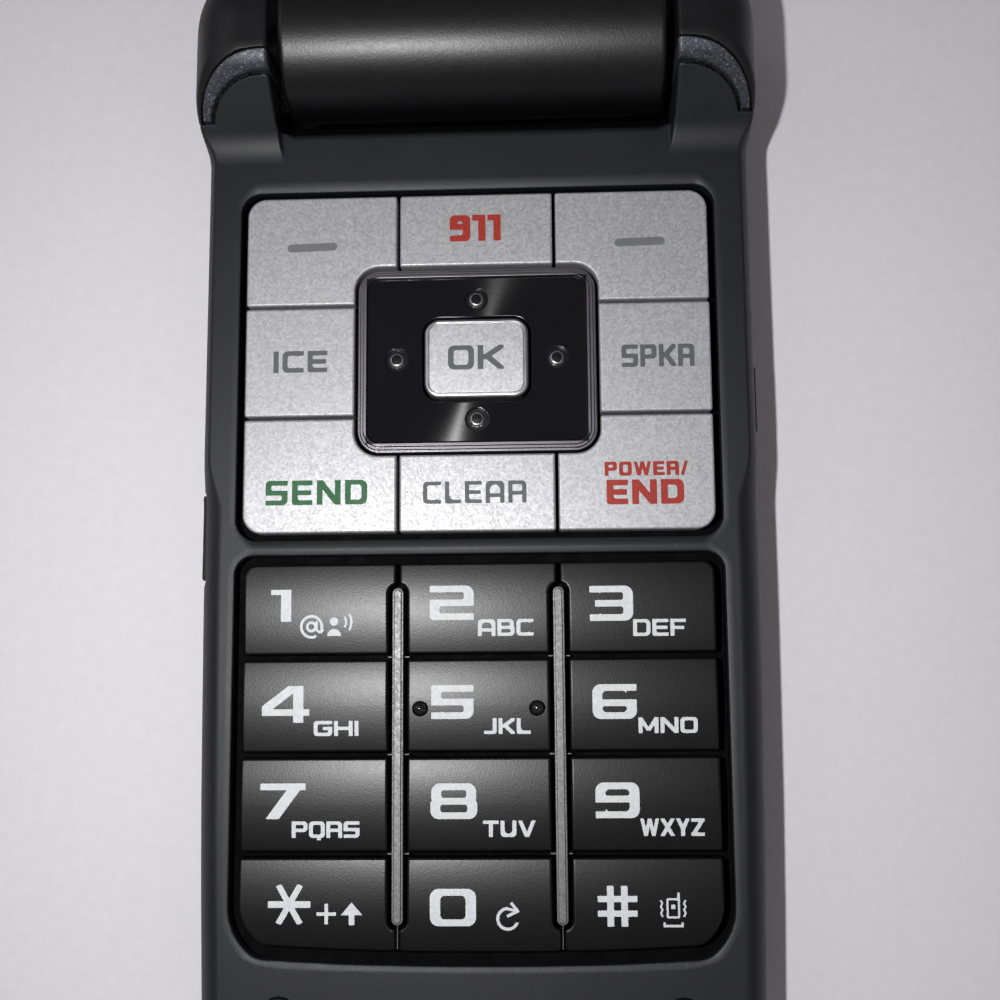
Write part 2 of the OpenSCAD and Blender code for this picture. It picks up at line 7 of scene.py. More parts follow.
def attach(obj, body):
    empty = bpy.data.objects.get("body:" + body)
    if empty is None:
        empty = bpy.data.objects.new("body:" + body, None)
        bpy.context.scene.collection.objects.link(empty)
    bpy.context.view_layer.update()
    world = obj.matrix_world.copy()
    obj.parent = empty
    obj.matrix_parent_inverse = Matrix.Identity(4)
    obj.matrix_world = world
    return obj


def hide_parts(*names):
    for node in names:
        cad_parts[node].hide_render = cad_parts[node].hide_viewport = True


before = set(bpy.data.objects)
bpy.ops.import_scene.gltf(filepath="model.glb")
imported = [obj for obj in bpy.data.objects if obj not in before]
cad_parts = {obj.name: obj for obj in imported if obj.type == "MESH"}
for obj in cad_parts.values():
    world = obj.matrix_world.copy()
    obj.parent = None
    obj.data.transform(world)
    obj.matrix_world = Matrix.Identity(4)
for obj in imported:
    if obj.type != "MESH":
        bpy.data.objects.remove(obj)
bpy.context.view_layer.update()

# ------------------------------------------------------------------ sizes (mm)
HW, HW_LOW, EAR_HW = 24.7, 24.05, 25.2
END_Y, HY, HZ, BR, BL = -46.9, 44.0, 8.7, 6.7, 17.1
BACK_Y = HY + BR
DECK, SPLIT, WALL = 9.2, 5.3, 1.2
SILVER_Z, NUMBER_Z, NAV_Z, OK_Z = 9.45, 9.35, 9.45, 9.75
CAP_Z, POST_Z = 7.65, 6.85
LID_IN, LID_OUT, LID_SPLIT = 10.05, 17.5, 13.6
OPEN = math.radians(160)
NAV_Y, NAV_HX, NAV_HY = 14.2, 10.87, 8.58
ROW_A, ROW_B, GAP2 = 19.2, 9.1, 0.15
BAR_X, BAR_W, BAR_Y0, BAR_Y1 = 6.95, 0.96, -34.3, -6.0
NUM_HX, NUM_Y1, PITCH, ROW_H = 20.3, -3.95, 8.3, 7.7

# ------------------------------------------------------------------ camera
cam_data = bpy.data.cameras.new("camera")
cam = bpy.data.objects.new("camera", cam_data)
bpy.context.collection.objects.link(cam)
R3 = Matrix(((0.99907, 0.01338, 0.04111), (-0.00778, 0.99102, -0.13346), (-0.04253, 0.13302, 0.9902)))
m4 = R3.to_4x4()
m4.translation = Vector((0.00651, -0.01315, 0.11841))
cam.matrix_world = m4
cam_data.sensor_width = 36
cam_data.lens = 1264 / 1000 * 36
cam_data.clip_start = 0.005
cam_data.clip_end = 10
bpy.context.scene.camera = cam


# ------------------------------------------------------------------ shape fields
# A field is negative inside a shape. All of them take arrays in millimetres.
def length2(a, b):
    return np.sqrt(a * a + b * b)

def cut_round(a, b, r):
    "Both shapes at once, with the corner between them rounded."
    return np.minimum(-r, np.maximum(a, b)) + length2(np.maximum(r + a, 0), np.maximum(r + b, 0))

def join_round(a, b, r):
    return np.maximum(r, np.minimum(a, b)) - length2(np.maximum(r - a, 0), np.maximum(r - b, 0))

def take_round(a, b, r):
    "a without b, with the new edge rounded."
    return cut_round(a, -b, r)

def soft_min(a, b, k):
    h = np.maximum(k - np.abs(a - b), 0) / k
    return np.minimum(a, b) - h * h * k * 0.25

def rrect(x, y, cx, cy, hx, hy, r):
    qx, qy = np.abs(x - cx) - hx + r, np.abs(y - cy) - hy + r
    return length2(np.maximum(qx, 0), np.maximum(qy, 0)) + np.minimum(np.maximum(qx, qy), 0) - r

def span(z, z0, z1):
    return np.abs(z - (z0 + z1) / 2) - (z1 - z0) / 2

def box3(x, y, z, x0, x1, y0, y1, z0, z1, r=0.0):
    qx, qy, qz = span(x, x0, x1) + r, span(y, y0, y1) + r, span(z, z0, z1) + r
    return np.sqrt(np.maximum(qx, 0) ** 2 + np.maximum(qy, 0) ** 2 + np.maximum(qz, 0) ** 2) + np.minimum(np.maximum(qx, np.maximum(qy, qz)), 0) - r

def capsule2(x, y, x0, y0, x1, y1, r):
    dx, dy = x1 - x0, y1 - y0
    t = np.clip(((x - x0) * dx + (y - y0) * dy) / (dx * dx + dy * dy), 0, 1)
    return length2(x - x0 - t * dx, y - y0 - t * dy) - r

def smooth(t):
    t = np.clip(t, 0, 1)
    return t * t * (3 - 2 * t)

def half_width(y):
    "Half the width of the base along its length."
    return np.interp(y, [-60, -41, -37, -32, -24, -15.5, -7, 34, 37, 60], [24.0, 24.08, 24.2, 24.35, 24.52, 24.62, HW, HW, EAR_HW, EAR_HW])


# ------------------------------------------------------------------ meshing
def lines(a, b, coarse, *feats):
    "Grid lines from a to b, with finer steps (lo, hi, step) where a feature is."
    out, x = [a], a
    while x < b - 1e-9:
        s, nxt = coarse, b
        for lo, hi, st in feats:
            if lo - 1e-9 <= x < hi - 1e-9:
                s = min(s, st)
            elif x < lo:
                nxt = min(nxt, lo)
        x = min(x + s, nxt) if nxt - x > 1e-9 else x + s
        if x - out[-1] < 1e-4:
            x = out[-1] + s
        out.append(x)
    return np.array(out)

def nets(f, xs, ys, zs, steps=4):
    "The surface of a field as quads, one vertex in each cell that it crosses, moved onto the surface."
    X, Y, Z = np.meshgrid(xs, ys, zs, indexing="ij")
    V = f(X, Y, Z)
    S = V < 0
    nx, ny, nz = V.shape
    ins = np.zeros((nx - 1, ny - 1, nz - 1), np.int8)
    for a in (0, 1):
        for b in (0, 1):
            for c in (0, 1):
                ins += S[a:nx - 1 + a, b:ny - 1 + b, c:nz - 1 + c]
    ci, cj, ck = np.nonzero((ins > 0) & (ins < 8))
    idx = np.full(ins.shape, -1, np.int64)
    idx[ci, cj, ck] = np.arange(len(ci))
    corner = [(a, b, c) for a in (0, 1) for b in (0, 1) for c in (0, 1)]
    vals = {q: V[ci + q[0], cj + q[1], ck + q[2]] for q in corner}
    pos = {q: np.stack([xs[ci + q[0]], ys[cj + q[1]], zs[ck + q[2]]], 1) for q in corner}
    acc, cnt = np.zeros((len(ci), 3)), np.zeros(len(ci))
    for i, p in enumerate(corner):
        for q in corner[i + 1:]:
            if sum(abs(u - v) for u, v in zip(p, q)) != 1:
                continue
            vp, vq = vals[p], vals[q]
            on = (vp < 0) != (vq < 0)
            t = np.where(on, vp / np.where(on, vp - vq, 1), 0)
            acc += np.where(on[:, None], pos[p] + t[:, None] * (pos[q] - pos[p]), 0)
            cnt += on
    P = acc / cnt[:, None]
    lo, hi = pos[(0, 0, 0)], pos[(1, 1, 1)]
    mid, half = (lo + hi) / 2, (hi - lo) * 0.62
    def grad(P):
        h = 0.004
        g = np.empty_like(P)
        for k in range(3):
            d = np.zeros(3); d[k] = h
            g[:, k] = (f(P[:, 0] + d[0], P[:, 1] + d[1], P[:, 2] + d[2]) - f(P[:, 0] - d[0], P[:, 1] - d[1], P[:, 2] - d[2])) / (2 * h)
        return g
    for _ in range(steps):
        g = grad(P)
        d = f(P[:, 0], P[:, 1], P[:, 2])
        P = P - (d / np.maximum((g * g).sum(1), 0.2))[:, None] * g
        P = np.clip(P, mid - half, mid + half)
    g = grad(P)
    N = g / np.maximum(np.linalg.norm(g, axis=1), 1e-9)[:, None]
    quads = []
    a = S[:-1, 1:-1, 1:-1] != S[1:, 1:-1, 1:-1]
    i, j, k = np.nonzero(a)
    q = np.stack([idx[i, j, k], idx[i, j + 1, k], idx[i, j + 1, k + 1], idx[i, j, k + 1]], 1)
    out = S[i, j + 1, k + 1]
    quads += [q[out], q[~out][:, ::-1]]
    a = S[1:-1, :-1, 1:-1] != S[1:-1, 1:, 1:-1]
    i, j, k = np.nonzero(a)
    q = np.stack([idx[i, j, k], idx[i, j, k + 1], idx[i + 1, j, k + 1], idx[i + 1, j, k]], 1)
    out = S[i + 1, j, k + 1]
    quads += [q[out], q[~out][:, ::-1]]
    a = S[1:-1, 1:-1, :-1] != S[1:-1, 1:-1, 1:]
    i, j, k = np.nonzero(a)
    q = np.stack([idx[i, j, k], idx[i + 1, j, k], idx[i + 1, j + 1, k], idx[i, j + 1, k]], 1)
    out = S[i + 1, j + 1, k]
    quads += [q[out], q[~out][:, ::-1]]
    Q = np.concatenate(quads)
    if (Q < 0).any():
        raise RuntimeError("a surface leaves its grid")
    return P, Q, N

def turn_open(P, N=None):
    "Turns points of the closed lid about the hinge axis to where the open lid is."
    c, s = math.cos(-OPEN), math.sin(-OPEN)
    M = np.array([[1, 0, 0], [0, c, -s], [0, s, c]])
    o = np.array([0, HY, HZ])
    P2 = (P - o) @ M.T + o
    return (P2, N @ M.T) if N is not None else P2

def make(name, P, faces, mat, body, replaces=(), normals=None, lid=False, smooth_shade=True):
    P = np.asarray(P, float)
    if lid:
        P, normals = (turn_open(P), None) if normals is None else turn_open(P, normals)
    me = bpy.data.meshes.new(name)
    if isinstance(faces, np.ndarray):
        me.vertices.add(len(P)); me.vertices.foreach_set("co", (P * 0.001).ravel())
        n = faces.shape[1]
        me.loops.add(faces.size); me.loops.foreach_set("vertex_index", faces.ravel().astype(np.int32))
        me.polygons.add(len(faces))
        me.polygons.foreach_set("loop_start", np.arange(0, faces.size, n, dtype=np.int32))
        me.update(calc_edges=True)
    else:
        me.from_pydata([tuple(p) for p in P * 0.001], [], faces)
        me.update()
    me.polygons.foreach_set("use_smooth", [smooth_shade] * len(me.polygons))
    if normals is not None:
        me.normals_split_custom_set_from_vertices(normals.astype(np.float32))
    ob = bpy.data.objects.new(name, me)
    bpy.context.collection.objects.link(ob)
    me.materials.append(mat)
    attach(ob, body)
    if replaces:
        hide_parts(*replaces)
    return ob

def shape(name, f, xs, ys, zs, mat, body, replaces=(), lid=False, steps=4):
    P, Q, N = nets(f, xs, ys, zs, steps)
    return make(name, P, Q, mat, body, replaces, N, lid, True)


# ------------------------------------------------------------------ materials
class Mat:
    def __init__(self, name):
        self.m = bpy.data.materials.new(name)
        self.m.use_nodes = True
        self.t = self.m.node_tree
        self.p = self.t.nodes["Principled BSDF"]
        self.co = self.t.nodes.new("ShaderNodeTexCoord").outputs["Object"]

    def node(self, kind, **sets):
        n = self.t.nodes.new(kind)
        for k, v in sets.items():
            setattr(n, k, v)
        return n

    def link(self, a, b):
        self.t.links.new(a, b)

    def set(self, **v):
        names = {"color": "Base Color", "rough": "Roughness", "metal": "Metallic", "spec": "Specular IOR Level",
                 "coat": "Coat Weight", "coat_rough": "Coat Roughness", "sheen": "Sheen Weight", "ior": "IOR",
                 "trans": "Transmission Weight", "sheen_rough": "Sheen Roughness"}
        for k, x in v.items():
            self.p.inputs[names[k]].default_value = (*x, 1) if k == "color" else x
        return self

    def noise(self, scale, detail=2.0, rough=0.5, stretch=None):
        n = self.node("ShaderNodeTexNoise")
        n.inputs["Scale"].default_value = scale
        n.inputs["Detail"].default_value = detail
        n.inputs["Roughness"].default_value = rough
        if stretch:
            mp = self.node("ShaderNodeMapping")
            mp.inputs["Scale"].default_value = stretch
            self.link(self.co, mp.inputs["Vector"])
            self.link(mp.outputs["Vector"], n.inputs["Vector"])
        else:
            self.link(self.co, n.inputs["Vector"])
        return n.outputs["Fac"]

    def voronoi(self, scale, feature="F1", rand=1.0):
        n = self.node("ShaderNodeTexVoronoi", feature=feature)
        n.inputs["Scale"].default_value = scale
        n.inputs["Randomness"].default_value = rand
        self.link(self.co, n.inputs["Vector"])
        return n

    def ramp(self, fac, stops):
        r = self.node("ShaderNodeValToRGB")
        el = r.color_ramp.elements
        while len(el) > 1:
            el.remove(el[-1])
        el[0].position, el[0].color = stops[0][0], (*stops[0][1], 1) if len(stops[0][1]) == 3 else stops[0][1]
        for pos, c in stops[1:]:
            e = el.new(pos)
            e.color = (*c, 1)
        self.link(fac, r.inputs["Fac"])
        return r.outputs["Color"]

    def math(self, op, a, b, clamp=False):
        n = self.node("ShaderNodeMath", operation=op, use_clamp=clamp)
        for k, v in enumerate((a, b)):
            if isinstance(v, (int, float)):
                n.inputs[k].default_value = v
            else:
                self.link(v, n.inputs[k])
        return n.outputs[0]

    def mix(self, fac, a, b):
        n = self.node("ShaderNodeMix", data_type="RGBA")
        for sock, v in ((n.inputs[0], fac), (n.inputs[6], a), (n.inputs[7], b)):
            if isinstance(v, (int, float)):
                sock.default_value = v
            elif isinstance(v, tuple):
                sock.default_value = (*v, 1)
            else:
                self.link(v, sock)
        return n.outputs[2]

    def color(self, out):
        self.link(out, self.p.inputs["Base Color"])
        return self

    def rough(self, fac, lo, hi, f0=0.0, f1=1.0):
        n = self.node("ShaderNodeMapRange")
        n.inputs["From Min"].default_value, n.inputs["From Max"].default_value = f0, f1
        n.inputs["To Min"].default_value, n.inputs["To Max"].default_value = lo, hi
        self.link(fac, n.inputs["Value"])
        self.link(n.outputs["Result"], self.p.inputs["Roughness"])
        return self

    def bump(self, height, strength, dist):
        b = self.node("ShaderNodeBump")
        b.inputs["Strength"].default_value = strength
        b.inputs["Distance"].default_value = dist
        self.link(height, b.inputs["Height"])
        if self.p.inputs["Normal"].is_linked:
            self.link(self.p.inputs["Normal"].links[0].from_socket, b.inputs["Normal"])
        self.link(b.outputs["Normal"], self.p.inputs["Normal"])
        return self


def dark_plastic(name, lo, hi, r0, r1, grain=9000.0, bump=0.25, spec=0.4, spots=0.0, painted_hinge_shade=False):
    "Matte moulded plastic: fine spark texture, faint cloudy wear and grease."
    m = Mat(name).set(spec=spec)
    cloud = m.noise(120, 4, 0.6)
    fine = m.noise(2600, 3, 0.7)
    col = m.ramp(cloud, [(0.3, lo), (0.7, hi)])
    speck = m.voronoi(1900)
    dust = m.ramp(speck.outputs["Distance"], [(0.0, (1, 1, 1)), (0.055, (0, 0, 0))])
    keep = m.ramp(m.noise(700, 2), [(0.62, (0, 0, 0)), (0.68, (1, 1, 1))])
    dustmask = m.math("MULTIPLY", dust, keep)
    dustmask = m.math("MULTIPLY", dustmask, 0.35 + spots)
    col = m.mix(dustmask, col, (0.16, 0.16, 0.17))
    if painted_hinge_shade:
        # painted shade: the room behind the deck where the barrel turns is coloured near-black with almost no specular,
        # standing in for the shade there
        at = m.node("ShaderNodeTexCoord")
        xyz = m.node("ShaderNodeSeparateXYZ")
        m.link(at.outputs["Object"], xyz.inputs[0])
        room = m.math("MULTIPLY", m.math("LESS_THAN", m.math("ABSOLUTE", xyz.outputs[0], 0.0), 0.01795), m.math("GREATER_THAN", xyz.outputs[1], 0.0355))
        room = m.math("MULTIPLY", room, m.math("LESS_THAN", xyz.outputs[2], 0.009))
        room = m.math("MULTIPLY", room, m.math("GREATER_THAN", xyz.outputs[2], 0.0008))
        col = m.mix(room, col, (0.0012, 0.0012, 0.0014))
        m.link(m.math("SUBTRACT", spec, m.math("MULTIPLY", room, spec - 0.06)), m.p.inputs["Specular IOR Level"])
    m.color(col)
    m.rough(m.math("ADD", m.math("MULTIPLY", cloud, 0.6), m.math("MULTIPLY", fine, 0.4)), r0, r1, 0.3, 0.7)
    m.bump(m.noise(grain, 2, 0.6), bump, 0.00002)
    m.bump(fine, bump * 0.5, 0.00003)
    return m.m

M_DECK = dark_plastic("deck_plastic", (0.0066, 0.0074, 0.0094), (0.0094, 0.0102, 0.0128), 0.47, 0.55, 7000.0, 0.40, spec=0.44)
# shell plastic, with painted shade behind the deck where the barrel turns
M_SHELL = dark_plastic("shell_plastic", (0.0065, 0.0065, 0.0075), (0.0095, 0.0095, 0.011), 0.38, 0.46, 7000, 0.25, painted_hinge_shade=True)
M_LID = dark_plastic("lid_plastic", (0.016, 0.016, 0.018), (0.022, 0.022, 0.024), 0.40, 0.52, 9000, 0.3)
M_SIDE = dark_plastic("side_key_plastic", (0.012, 0.012, 0.014), (0.016, 0.016, 0.018), 0.38, 0.46)


def silver_paint(name, base=(0.47, 0.47, 0.49), r0=0.43, r1=0.55):
    "Silver key paint: metal flakes that catch the light one by one."
    m = Mat(name).set(metal=0.5, spec=0.5)
    cloud = m.noise(1500, 4, 0.7)
    flake = m.voronoi(5200)
    fl = m.node("ShaderNodeSeparateColor")
    m.link(flake.outputs["Color"], fl.inputs[0])
    tone = m.math("ADD", m.math("MULTIPLY", fl.outputs[0], 0.34), m.math("MULTIPLY", cloud, 0.10))
    lo = tuple(c * 0.80 for c in base)
    hi = tuple(min(1, c * 1.20) for c in base)
    m.color(m.ramp(tone, [(0.05, lo), (0.5, hi)]))
    m.rough(fl.outputs[1], r0, r1)
    m.bump(fl.outputs[2], 0.12, 0.00002)
    m.bump(m.noise(3600, 3, 0.7), 0.12, 0.00002)
    return m.m

M_SILVER = silver_paint("silver_key")


def satin_black(name, lo=(0.0016, 0.0016, 0.0020), hi=(0.0024, 0.0024, 0.0030), r0=0.335, r1=0.355):
    m = Mat(name).set(spec=0.38)
    cloud = m.noise(160, 4, 0.6)
    m.color(m.ramp(cloud, [(0.3, lo), (0.7, hi)]))
    grease = m.noise(1800, 5, 0.8)
    m.rough(grease, r0, r1, 0.35, 0.65)
    m.bump(m.noise(5600, 2, 0.6), 0.30, 0.00002)
    m.bump(m.noise(2600, 2, 0.6), 0.10, 0.00002)
    return m.m

M_BLACKKEY = satin_black("black_key")


def plain(name, color, rough=0.5, metal=0.0, spec=0.5, vary=0.15, grain=3000, bump=0.1):
    m = Mat(name).set(metal=metal, spec=spec)
    cloud = m.noise(grain * 0.1, 3, 0.6)
    m.color(m.ramp(cloud, [(0.3, tuple(c * (1 - vary) for c in color)), (0.7, tuple(min(1, c * (1 + vary)) for c in color))]))
    m.rough(m.noise(grain * 0.3, 3, 0.6), rough * 0.85, min(1, rough * 1.15), 0.3, 0.7)
    m.bump(m.noise(grain, 2, 0.5), bump, 0.00002)
    return m.m

def ink(name, color, rough=0.55):
    m = Mat(name).set(spec=0.35)
    n = m.noise(2600, 3, 0.6)
    m.color(m.ramp(n, [(0.3, tuple(c * 0.90 for c in color)), (0.7, tuple(min(1, c * 1.07) for c in color))]))
    m.rough(m.noise(900, 3), rough * 0.9, min(1, rough * 1.1), 0.3, 0.7)
    m.bump(m.noise(5000, 2), 0.1, 0.00001)
    return m.m


# ------------------------------------------------------------------ base: outside shape
def pchip(xp, yp, x):
    xp, yp = np.array(xp, float), np.array(yp, float)
    h = np.diff(xp); m = np.diff(yp) / h
    d = np.zeros(len(xp))
    for i in range(1, len(xp) - 1):
        if m[i - 1] * m[i] > 0:
            w1, w2 = 2 * h[i] + h[i - 1], h[i] + 2 * h[i - 1]
            d[i] = (w1 + w2) / (w1 / m[i - 1] + w2 / m[i])
    i = np.clip(np.searchsorted(xp, x, side="right") - 1, 0, len(xp) - 2)
    t = (x - xp[i]) / h[i]
    return (yp[i] * (1 + 2 * t) * (1 - t) ** 2 + h[i] * d[i] * t * (1 - t) ** 2
            + yp[i + 1] * t * t * (3 - 2 * t) + h[i] * d[i + 1] * t * t * (t - 1))

EAR_X = 17.9

def ellipse(x, y, rx, ry):
    k0, k1 = length2(x / rx, y / ry), length2(x / rx ** 2, y / ry ** 2)
    return k0 * (k0 - 1) / np.maximum(k1, 1e-6)

def sweep_top(y):
    "Height of the face that sweeps up from the deck to the crest of an ear, and the cosine of its slope."
    u = np.clip(y - 32.67, 0, 2.83)
    z = DECK + 4 - np.sqrt(16 - u * u) + np.maximum(y - 35.5, 0)
    return z, np.sqrt(16 - u * u) / 4

def outline(x, y):
    side = np.abs(x) - half_width(y)
    bottom = length2(x, y - (END_Y + 510)) - 510
    return cut_round(cut_round(side, bottom, 6.0), y - BACK_Y, 8.2)

def shoulder(y):
    "Radius and height of the rounded shoulder between the deck and the side wall."
    t = smooth((y - 0.9) / 5.0)
    k = 1 - 0.9 * smooth((y - 33.0) / 3.0)
    return (3.60 - 0.23 * t) * k, (3.20 - 0.90 * t) * k

def ear_inside(y):
    "Inner face of an ear, flaring into a foot where it leaves the deck."
    return np.interp(y, [32.5, 33.0, 33.6, 34.3, 35.2, 36.5, 38.0, 60], [16.95, 17.22, 17.48, 17.66, 17.78, 17.85, EAR_X, EAR_X])

def base_body(x, y, z):
    ax = np.abs(x)
    o = outline(x, y)
    zs, cs = sweep_top(y)
    u = np.clip(ax - (EAR_HW - 5.0), 0, 4.95)
    fall_x = 5 - np.sqrt(25 - u * u)
    over = (z + fall_x - (HZ + BR)) * (1 - fall_x / 5)
    inside = ear_inside(y) - ax
    ear = cut_round((z - zs) * cs, over, 0.8)
    cap = (length2(y - HY, np.maximum(z + fall_x - HZ, 0) + np.minimum(z - 6.7, 0)) - BR) * (1 - 0.7 * fall_x / 5)
    ear = np.where(y > HY, cap, ear)
    ear = cut_round(ear, inside, np.interp(y, [33.0, 36.0], [0.25, 0.40]))
    deck = np.maximum(z - DECK, y - 41.0)
    top = join_round(ear, deck, np.clip((zs - DECK) * 0.5, 1e-3, 0.35))
    t = cut_round(o, top, 0.30)
    # shoulder above the vertical wall, meeting the deck at an edge
    rad, drop = shoulder(y)
    side = length2(np.maximum(o + rad, 0), np.maximum(z - (np.maximum(zs, DECK) - drop), 0)) - rad
    t = cut_round(t, side, 0.12)
    low = cut_round(o, -z, np.interp(y, [38, 43.5], [2.2, 0.5]))
    return np.maximum(t, low)

def front_plan(x, y, grow=0.0):
    ax = np.abs(x)
    return np.minimum(np.minimum(y - 36.0 - grow, ellipse(ax - 18.4, y - 35.6, 5.17, 3.57) - grow),
                      np.maximum(ax - EAR_X, y - 39))

def silver_well(x, y):
    return rrect(x, y, 0, (30.0 - 1.75) / 2, 21.3, (30.0 + 1.75) / 2, 1.9)

def number_well(x, y):
    a = rrect(x, y, 0, -11.55, 21.3, 8.45, 1.6)
    b = rrect(x, y, 0, -24.85, 21.3, 12.85, 5.0)
    bow = length2(x, y - (-37.62 + 300)) - 300
    return cut_round(np.minimum(a, b), bow, 0.3)

def well_cut(f, x, y, z, w, tops, sides, side_x=21.3):
    "Cuts a key well with a lit lead-in edge that is wider along its ends."
    c = sides + (tops - sides) * smooth((side_x - 0.1 - np.abs(x)) / 1.6)
    lead = np.where(w < 1.6, (z - DECK) * 0.9397 + (c - w) * 0.342, -9.0)
    f = cut_round(f, lead, 0.14)
    return take_round(f, np.maximum(w, 6.2 - z), 0.10)

def front_housing(x, y, z):
    ax = np.abs(x)
    f = base_body(x, y, z)
    f = cut_round(f, front_plan(x, y), 0.16)
    f = cut_round(f, SPLIT + 0.03 - z, 0.15)
    f = take_round(f, np.maximum(length2(y - HY, z - HZ) - 8.3, ax - EAR_X + 0.01), np.interp(ax, [16.6, 17.4], [0.8, 0.15]))
    f = np.maximum(f, np.where(ax < 17.45, y - 39, -9))
    inner = np.maximum(np.maximum(outline(x, y) + WALL, z - 8.0), np.maximum(y - 31.5, base_body(x, y, z) + 0.6))
    inner = np.minimum(inner, box3(x, y, z, -16.4, 16.4, 30, 34.7, 4, 8.0))
    pillars = length2(ax - 19.2, y + 42.4) - 2.1
    f = np.maximum(f, -np.maximum(inner, -pillars))
    f = well_cut(f, x, y, z, silver_well(x, y), 0.62, 0.2)
    f = well_cut(f, x, y, z, number_well(x, y), 0.40, 0.22)
    f = take_round(f, np.maximum(length2(ax - 16.85, y + 41.6) - 1.5, 8.6 - z), 0.12)
    f = take_round(f, np.maximum(length2(x, y + 43.6) - 0.5, 6 - z), 0.12)
    f = take_round(f, box3(x, y, z, -30, -22, -5.2, 2.7, 5.9, 7.7, 0.2), 0.12)
    f = take_round(f, box3(x, y, z, 22, 30, 7.4, 13.7, 5.9, 7.7, 0.2), 0.12)
    f = np.maximum(f, -np.maximum(length2(ax - 21, y - 33.4) - 0.72, z - 8.4))
    f = np.maximum(f, -np.maximum(length2(ax - 19.2, y + 42.4) - 0.72, z - 8.4))
    return f

def trim_plan(x, y, grow=0.0, inner=0.0):
    ax = np.abs(x)
    f = ellipse(ax - 18.3, y - 35.9, 6.25, 5.02) - grow
    f = np.maximum(f, -(ellipse(ax - 18.4, y - 35.6, 5.45, 3.85) + inner))
    return np.maximum(np.maximum(f, 36.2 - grow - y), 17.1 - 2 * grow - ax)

def back_housing(x, y, z):
    ax = np.abs(x)
    f = base_body(x, y, z)
    f = cut_round(f, np.minimum(z - SPLIT + 0.03, -front_plan(x, y, 0.06)), 0.15)
    f = np.maximum(f, np.where(ax < 17.6, y - 41, -9))
    f = np.maximum(f, -np.maximum(length2(y - HY, z - HZ) - 7.1, ax - EAR_X + 0.01))
    seat = np.maximum(trim_plan(x, y, 0.12, 0.05), 9.4 - z)
    f = take_round(f, seat, 0.04)
    lip = np.maximum(np.maximum(ellipse(ax - 18.4, y - 35.6, 5.45, 3.85), 36.1 - y), -(base_body(x, y, z) + 0.26))
    f = np.maximum(f, -lip)
    corner = np.maximum(np.maximum(ellipse(ax - 18.3, y - 35.9, 6.25, 5.02) - 0.12, y - 36.4), np.maximum(16.9 - ax, 9.4 - z))
    f = np.maximum(f, -corner)
    # inside and openings
    f = take_round(f, np.maximum(np.maximum(ax - 21.0, y - 12.2), z - 1.05), 0.12)
    f = np.maximum(f, -box3(x, y, z, -21.75, 21.75, -60, 12.2, 0.35, 0.9))
    f = np.maximum(f, -box3(x, y, z, -17.25, 17.25, -38.3, 9.3, -5, 4.8))
    f = np.maximum(f, -box3(x, y, z, -4.3, 4.3, 9.2, 12.6, 1.3, 9))
    f = np.maximum(f, -box3(x, y, z, -22.2, 22.2, 10.6, 30.6, 1.1, 9))
    f = np.maximum(f, -np.maximum(np.maximum(outline(x, y) + WALL, ax - 16.4), np.maximum(y + 39.3, 1.9 - z)))
    f = take_round(f, box3(x, y, z, -4.3, 4.3, -60, -44, 2.2, 5.0, 0.4), 0.15)
    for i in range(-2, 3):
        yc = 18.5 + i * 1.9
        f = take_round(f, np.maximum(rrect(x, y, -13, yc, 3, 0.45, 0.44), z - 2), 0.1)
    for sx, sy in ((21, 33.4), (19.2, -42.4)):
        r = length2(ax - sx, y - sy)
        f = take_round(f, np.maximum(r - 1.5, z - (1.2 if sy > 0 else 2.2)), 0.1)
        f = np.maximum(f, -np.maximum(r - 0.8, z - 8))
    r = length2(y - HY, z - HZ)
    f = np.maximum(f, -np.maximum(np.where(x > 0, r - 2.6, r - 1.9), np.maximum(16.45 - ax, ax - 21.2)))
    return f

def trim(x, y, z):
    f = base_body(x, y, z)
    plan = trim_plan(x, y)
    f = cut_round(f, plan, 0.12)
    return np.maximum(f, 9.45 - z)

def battery_cover(x, y, z):
    ax = np.abs(x)
    o = outline(x, y)
    f = cut_round(o + 0.06, -z, 2.2)
    f = cut_round(f, np.maximum(ax - 20.85, y - 11.98), 0.15)
    f = cut_round(f, z - 0.95, 0.08)
    f = np.minimum(f, box3(x, y, z, -21.6, 21.6, -40, 11.5, 0.45, 0.8, 0.05))
    for i in range(5):
        f = take_round(f, np.maximum(rrect(x, y, 0, -41.75 + i * 1.3, 6, 0.25, 0.24), z - 0.22), 0.08)
    # shallow thumb dish above the ridges
    f = take_round(f, np.sqrt(x * x + (y + 33.5) ** 2 + (z + 39.7) ** 2) - 40.0, 0.3)
    return f


# ------------------------------------------------------------------ lid, drawn closed
NY = np.arange(28.0, 44.0001, 0.01)
NZ = pchip([26, 31, 35, 38.5, 41.5, 44.2], [17.5, 17.5, 17.25, 16.55, 15.62, 15.4], NY)
_k = np.hanning(121); _k /= _k.sum()
NZ = np.convolve(np.pad(NZ, 60, mode="edge"), _k, mode="valid")

def lid_plan(x, y, d=0.0):
    side = np.abs(x) - half_width(np.minimum(y, 27)) + d
    bottom = length2(x, y - (END_Y + 510)) - 510 + d
    return cut_round(cut_round(side, bottom, 6.0 - d), y - 30.5 + d, 2.0)

def lid_solid(x, y, z):
    "The whole lid without its barrel: plate and neck."
    p = lid_plan(x, y)
    plate = cut_round(cut_round(p, z - LID_OUT, 2.4), LID_IN - z, 0.55)
    nz = np.interp(y, NY, NZ)
    neck = np.maximum(cut_round(np.abs(x) - 17.1, z - nz, 1.2), np.maximum(y - 44.0, 27 - y))
    neck = cut_round(neck, LID_IN - z, 0.5)
    return join_round(plate, neck, 0.6)

def barrel(x, y, z, r=BR):
    return cut_round(length2(y - HY, z - HZ) - r, np.abs(x) - BL, 0.55)

LID_SCREWS = ((19.4, -42.3), (20.6, 26.0))

